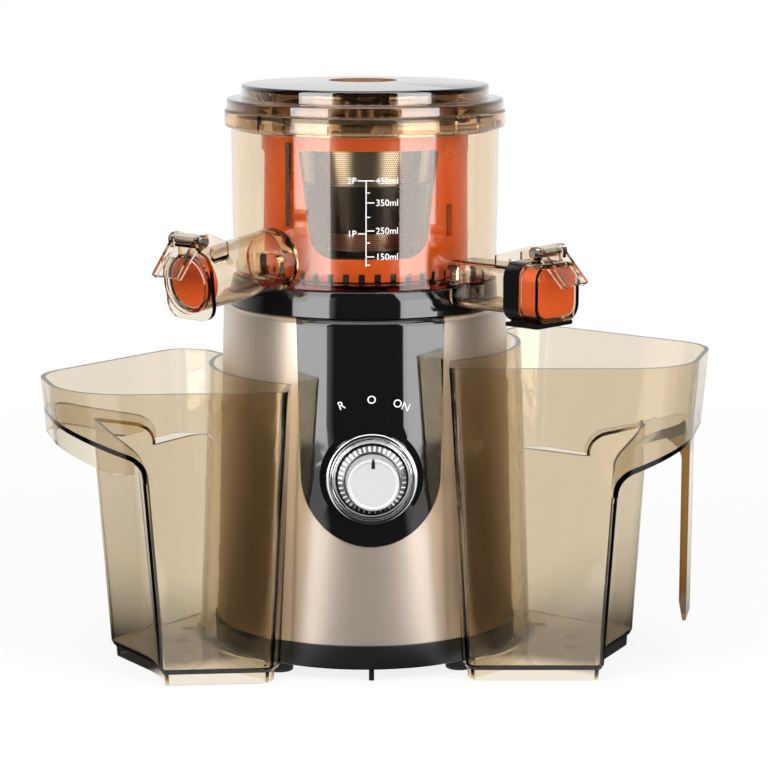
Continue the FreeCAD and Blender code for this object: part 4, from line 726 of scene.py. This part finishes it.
class JUICER_OT_knob_trim(bpy.types.Operator):
    """Lays the pointer, the knurl's ribs and a dark ring of painted shade in the gap round the cap on the
    knob
    """
    bl_idname = "juicer.knob_trim"
    bl_label = "Knob Trim"

    def pointer(self, cap_low, cap_high):
        pointer = rounded_block(POINTER_SIZE, POINTER_EDGE)
        move(pointer, 0, cap_low[1] + POINTER_SINK, cap_high[2] - POINTER_DROP)
        finish_drawing("knob_pointer", pointer, "dark_plastic", "knob")

    def ribs(self, skirt_y):
        ribs = rounded_block(RIB_SIZE, RIB_EDGE)
        turn_round(ribs, RIB_SLOPE, "Z")
        move(ribs, RIB_RING_R, skirt_y + RIB_SINK, 0)
        turn_round(ribs, pi / RIB_COUNT, "Y")
        repeat_round(ribs, (0, 1, 0), RIB_COUNT)
        move(ribs, 0, 0, KNOB_Z)
        finish_drawing("knurl_ribs", ribs, "knob_chrome", "knob")

    def seam(self, skirt_y):
        # Dark ring between the cap and the skirt: painted shade in the gap
        seam = bmesh.new()
        bmesh.ops.create_circle(seam, segments=GAP_SHADE_SIDES, radius=GAP_SHADE_R)
        move(seam, GAP_SHADE_RING_R, skirt_y - GAP_SHADE_PROUD, 0)
        bmesh.ops.spin(seam, geom=seam.verts[:] + seam.edges[:], cent=(0, 0, 0), axis=(0, 1, 0),
                       angle=2 * pi, steps=GAP_SHADE_STEPS, use_merge=True)
        move(seam, 0, 0, KNOB_Z)
        finish_drawing("cap_gap_shade", seam, "dark_plastic", "knob")

    def execute(self, context):
        cap_low, cap_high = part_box("knob_cap")
        skirt_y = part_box("knob_skirt")[0][1]
        self.pointer(cap_low, cap_high)
        self.ribs(skirt_y)
        self.seam(skirt_y)
        return {"FINISHED"}


# Dark tiles in the open notches at the brush's foot: painted shade
NOTCH_COUNT = 42
SHADE_TILE_SIZE = (0.5 * MM, 3.0 * MM, 3.8 * MM)
SHADE_TILE_EDGE = 0.1 * MM
SHADE_TILE_RING_R = 50.55 * MM
SHADE_TILE_RISE = 1.95 * MM  # its middle, above the brush's foot


class JUICER_OT_ring_notches(bpy.types.Operator):
    """Lines the notches round the foot of the brush with dark tiles: painted shade in the open notches"""
    bl_idname = "juicer.ring_notches"
    bl_label = "Brush Notches"

    def execute(self, context):
        low_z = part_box("brush_frame")[0][2]
        shade_tiles = rounded_block(SHADE_TILE_SIZE, SHADE_TILE_EDGE)
        move(shade_tiles, SHADE_TILE_RING_R, 0, low_z + SHADE_TILE_RISE)
        repeat_round(shade_tiles, (0, 0, 1), NOTCH_COUNT)
        finish_drawing("notch_shade_tiles", shade_tiles, "dark_plastic", "brush")
        return {"FINISHED"}


KNOB_SETTINGS = (("R", radians(22.5)), ("O", 0.0), ("ON", radians(-22.5)))


class JUICER_OT_settings_print(bpy.types.Operator):
    """Prints the knob's settings on the panel"""
    bl_idname = "juicer.settings_print"
    bl_label = "Knob Settings"

    def execute(self, context):
        marks = context.scene.juicer_marks
        drawings = []
        for body, turn in KNOB_SETTINGS:
            drawn = flat_text(body, marks.letter_cap, "CENTER")
            move(drawn, 0, marks.letter_ring, 0)
            turn_round(drawn, turn, "Z")
            move(drawn, 0, KNOB_Z, 0)
            lay_on_wall(drawn, panel_radius, PANEL_PRINT_GAP)
            drawings.append(drawn)
        finish_drawing("settings_print", join_drawings(drawings), "white_print", "base")
        return {"FINISHED"}


SCALE_LOW = 204.2 * MM
SCALE_TOP = 246.0 * MM
LONG_MARK = 4.0 * MM
SHORT_MARK = 1.9 * MM
TEXT_START = 4.6 * MM
VOLUME_MARKS = ((245.8 * MM, "450ml"), (235.2 * MM, "350ml"), (221.6 * MM, "250ml"), (209.0 * MM, "150ml"))
HALF_STEPS = (240.0 * MM, 228.2 * MM, 215.8 * MM, 205.0 * MM)
PORTION_MARKS = ((245.8 * MM, "2P"), (220.2 * MM, "1P"))


class JUICER_OT_volume_print(bpy.types.Operator):
    """Prints the volume scale on the bowl"""
    bl_idname = "juicer.volume_print"
    bl_label = "Volume Scale"

    def mark(self, left, right, z):
        return flat_bar(left, right, z - HALF_LINE, z + HALF_LINE)

    def label(self, words, size, x, z, align):
        drawn = flat_text(words, size, align)
        move(drawn, x, z, 0)
        return drawn

    def execute(self, context):
        marks = context.scene.juicer_marks
        line = marks.scale_arc
        size = marks.scale_cap
        drawings = [flat_bar(line - HALF_LINE, line + HALF_LINE, SCALE_LOW, SCALE_TOP)]
        for z, words in VOLUME_MARKS:
            drawings.append(self.mark(line, line + LONG_MARK, z))
            drawings.append(self.label(words, size, line + TEXT_START, z, "LEFT"))
        for z in HALF_STEPS:
            drawings.append(self.mark(line, line + SHORT_MARK, z))
        for z, words in PORTION_MARKS:
            drawings.append(self.mark(line - LONG_MARK, line, z))
            drawings.append(self.label(words, size, line - TEXT_START, z, "RIGHT"))
        for drawn in drawings:
            lay_on_wall(drawn, bowl_radius, BOWL_PRINT_GAP)
        finish_drawing("volume_print", join_drawings(drawings), "white_print", "bowl")
        return {"FINISHED"}


FLOOR_REACH = 40.0
FLOOR_GREY = (0.86, 0.86, 0.86)
CENTRE_REACH = 0.001
SHADE_START, SHADE_END = 0.25, 0.8  # where the floor's shade begins to fade, and where it is gone
SHADE_WHITE = 0.84  # share of plain white close to the object
FRONT_GLOW = 0.03  # that gloss mirrors from the front, against 1 from behind
GLOW_START, GLOW_FULL = 0.1, 0.85
PANE_START, PANE_END = (0.44, 0.52), (0.84, 0.92)  # of a bright pane in front, to each side
DOME_LIGHT = 0.62
SIDE_LAMP_TURN = radians(44.8)
SIDE_LAMP = {"distance": 0.8, "height": 0.46, "aim_height": 0.46, "width": 0.46, "tall": 0.9}
TOP_LAMP = {"distance": 0.5, "height": 1.7, "aim_height": 0.16, "width": 1.6, "tall": 1.6}
PICTURE_WIDTH = 768.0
PICTURE_AXIS = 365.0  # column that the camera looks along
SENSOR_WIDTH = 36.0
CAMERA_REACH = 100.0


def ray_kinds(tree):
    """Rays that look at the scene straight or through plastic, and rays that gloss mirrors."""
    seen = tree.nodes.new("ShaderNodeLightPath").outputs
    straight = maths(tree, "MAXIMUM", seen["Is Camera Ray"], seen["Is Transmission Ray"])
    return straight, seen["Is Glossy Ray"]


def glow_behind(tree, along):
    return ramp(tree, along, GLOW_START, GLOW_FULL, FRONT_GLOW, 1.0)


def mix_shaders(tree, share, first, second):
    node = tree.nodes.new("ShaderNodeMixShader")
    for source, socket in zip((share, first, second), node.inputs):
        link(tree, source, socket)
    return node.outputs[0]


class JUICER_OT_stage(bpy.types.Operator):
    """Sets the floor, the soft lamps and the camera"""
    bl_idname = "juicer.stage"
    bl_label = "Studio"

    def floor(self):
        drawn = bmesh.new()
        bmesh.ops.create_grid(drawn, x_segments=1, y_segments=1, size=FLOOR_REACH)
        mesh = bpy.data.meshes.new("floor")
        drawn.to_mesh(mesh)
        drawn.free()
        floor = bpy.data.objects.new("floor", mesh)
        bpy.context.scene.collection.objects.link(floor)
        self.paint_floor()
        floor.data.materials.append(finishes["pale_floor"])

    def paint_floor(self):
        """Matt grey that keeps the shadow, seen as white, with a dark front and two panes for gloss."""
        tree, shader = start_finish("pale_floor")
        shader["Base Color"].default_value = (*FLOOR_GREY, 1)
        shader["Roughness"].default_value = 0.9
        shader["Specular IOR Level"].default_value = 0.1
        across, along, _ = split_place(tree)
        reach = maths(tree, "MAXIMUM", distance_from_axis(tree, across, along), CENTRE_REACH)
        straight, glossy = ray_kinds(tree)

        white = tree.nodes.new("ShaderNodeEmission")
        white.inputs["Strength"].default_value = 1.0
        share = maths(tree, "MULTIPLY", straight, ramp(tree, reach, SHADE_START, SHADE_END, SHADE_WHITE, 1.0))
        matt = tree.nodes["Principled BSDF"].outputs[0]
        pale = mix_shaders(tree, share, matt, white.outputs[0])

        side = maths(tree, "ABSOLUTE", maths(tree, "DIVIDE", across, reach))
        from_middle = ramp(tree, side, *PANE_START, 0.0, 1.0)
        panes = maths(tree, "MULTIPLY", from_middle, ramp(tree, side, *PANE_END, 1.0, 0.0))
        front = maths(tree, "MULTIPLY", panes, maths(tree, "LESS_THAN", along, 0.0))
        behind = glow_behind(tree, maths(tree, "DIVIDE", along, reach))
        mirrored = tree.nodes.new("ShaderNodeEmission")
        link(tree, maths(tree, "MAXIMUM", behind, front), mirrored.inputs["Strength"])
        shown = mix_shaders(tree, glossy, pale, mirrored.outputs[0])
        link(tree, shown, tree.nodes["Material Output"].inputs["Surface"])

    def sky(self):
        world = bpy.context.scene.world or bpy.data.worlds.new("studio")
        bpy.context.scene.world = world
        world.use_nodes = True
        tree = world.node_tree
        tree.nodes.clear()
        _, along, _ = split_place(tree, "Generated")
        straight, glossy = ray_kinds(tree)
        mirrored = maths(tree, "MULTIPLY", glow_behind(tree, along), glossy)
        other_rays = maths(tree, "SUBTRACT", 1.0, maths(tree, "MAXIMUM", straight, glossy))
        soft = maths(tree, "MULTIPLY", other_rays, DOME_LIGHT)
        strength = maths(tree, "ADD", maths(tree, "MAXIMUM", straight, mirrored), soft)
        dome = tree.nodes.new("ShaderNodeBackground")
        link(tree, strength, dome.inputs["Strength"])
        link(tree, dome.outputs[0], tree.nodes.new("ShaderNodeOutputWorld").inputs["Surface"])

    def lamp(self, name, azimuth, power, distance, height, aim_height, width, tall):
        light = bpy.data.lights.new(name, "AREA")
        light.shape = "RECTANGLE"
        light.size = width
        light.size_y = tall
        light.energy = power
        holder = bpy.data.objects.new(name, light)
        bpy.context.scene.collection.objects.link(holder)
        holder.location = (sin(azimuth) * distance, -cos(azimuth) * distance, height)
        aim = Vector((0, 0, aim_height)) - holder.location
        holder.rotation_euler = aim.to_track_quat("-Z", "Y").to_euler()
        holder.visible_camera = False

    def camera(self, studio):
        eye = bpy.data.cameras.new("photo_view")
        eye.sensor_width = SENSOR_WIDTH
        eye.lens = studio.lens
        eye.shift_x = (PICTURE_WIDTH / 2 - PICTURE_AXIS) / PICTURE_WIDTH
        eye.clip_end = CAMERA_REACH
        holder = bpy.data.objects.new("photo_view", eye)
        bpy.context.scene.collection.objects.link(holder)
        x, y = -studio.distance * sin(studio.turn), -studio.distance * cos(studio.turn)
        holder.location = (x, y, studio.height)
        holder.rotation_euler = (pi / 2 - studio.pitch, 0, -studio.turn)
        bpy.context.scene.camera = holder

    def execute(self, context):
        studio = context.scene.juicer_studio
        context.scene.view_settings.view_transform = "Standard"
        self.floor()
        self.sky()
        for name, side in (("left_softbox", -1), ("right_softbox", 1)):
            self.lamp(name, SIDE_LAMP_TURN * side - studio.turn, studio.side_power, **SIDE_LAMP)
        self.lamp("top_softbox", 0.0, studio.top_power, **TOP_LAMP)
        self.camera(studio)
        return {"FINISHED"}


class JUICER_PT_sidebar(bpy.types.Panel):
    bl_label = "Juicer"
    bl_space_type = "VIEW_3D"
    bl_region_type = "UI"
    bl_category = "Juicer"

    def draw(self, context):
        layout = self.layout
        scene = context.scene
        for settings in (scene.juicer_colours, scene.juicer_marks, scene.juicer_studio):
            box = layout.box()
            for key in settings.__annotations__:
                box.prop(settings, key)
        for step in STEPS:
            layout.operator(step.bl_idname)


STEPS = (
    JUICER_OT_finishes,
    JUICER_OT_body,
    JUICER_OT_drive,
    JUICER_OT_bowl,
    JUICER_OT_knob_trim,
    JUICER_OT_ring_notches,
    JUICER_OT_settings_print,
    JUICER_OT_volume_print,
    JUICER_OT_stage,
)
SETTINGS = (JuicerColours, JuicerMarks, JuicerStudio)


def register():
    for cls in SETTINGS + STEPS + (JUICER_PT_sidebar,):
        bpy.utils.register_class(cls)
    bpy.types.Scene.juicer_colours = bpy.props.PointerProperty(type=JuicerColours)
    bpy.types.Scene.juicer_marks = bpy.props.PointerProperty(type=JuicerMarks)
    bpy.types.Scene.juicer_studio = bpy.props.PointerProperty(type=JuicerStudio)


def unregister():
    del bpy.types.Scene.juicer_studio
    del bpy.types.Scene.juicer_marks
    del bpy.types.Scene.juicer_colours
    for cls in reversed(SETTINGS + STEPS + (JUICER_PT_sidebar,)):
        bpy.utils.unregister_class(cls)


def main():
    register()
    for step in STEPS:
        area, name = step.bl_idname.split(".")
        getattr(getattr(bpy.ops, area), name)()


if __name__ == "__main__":
    main()
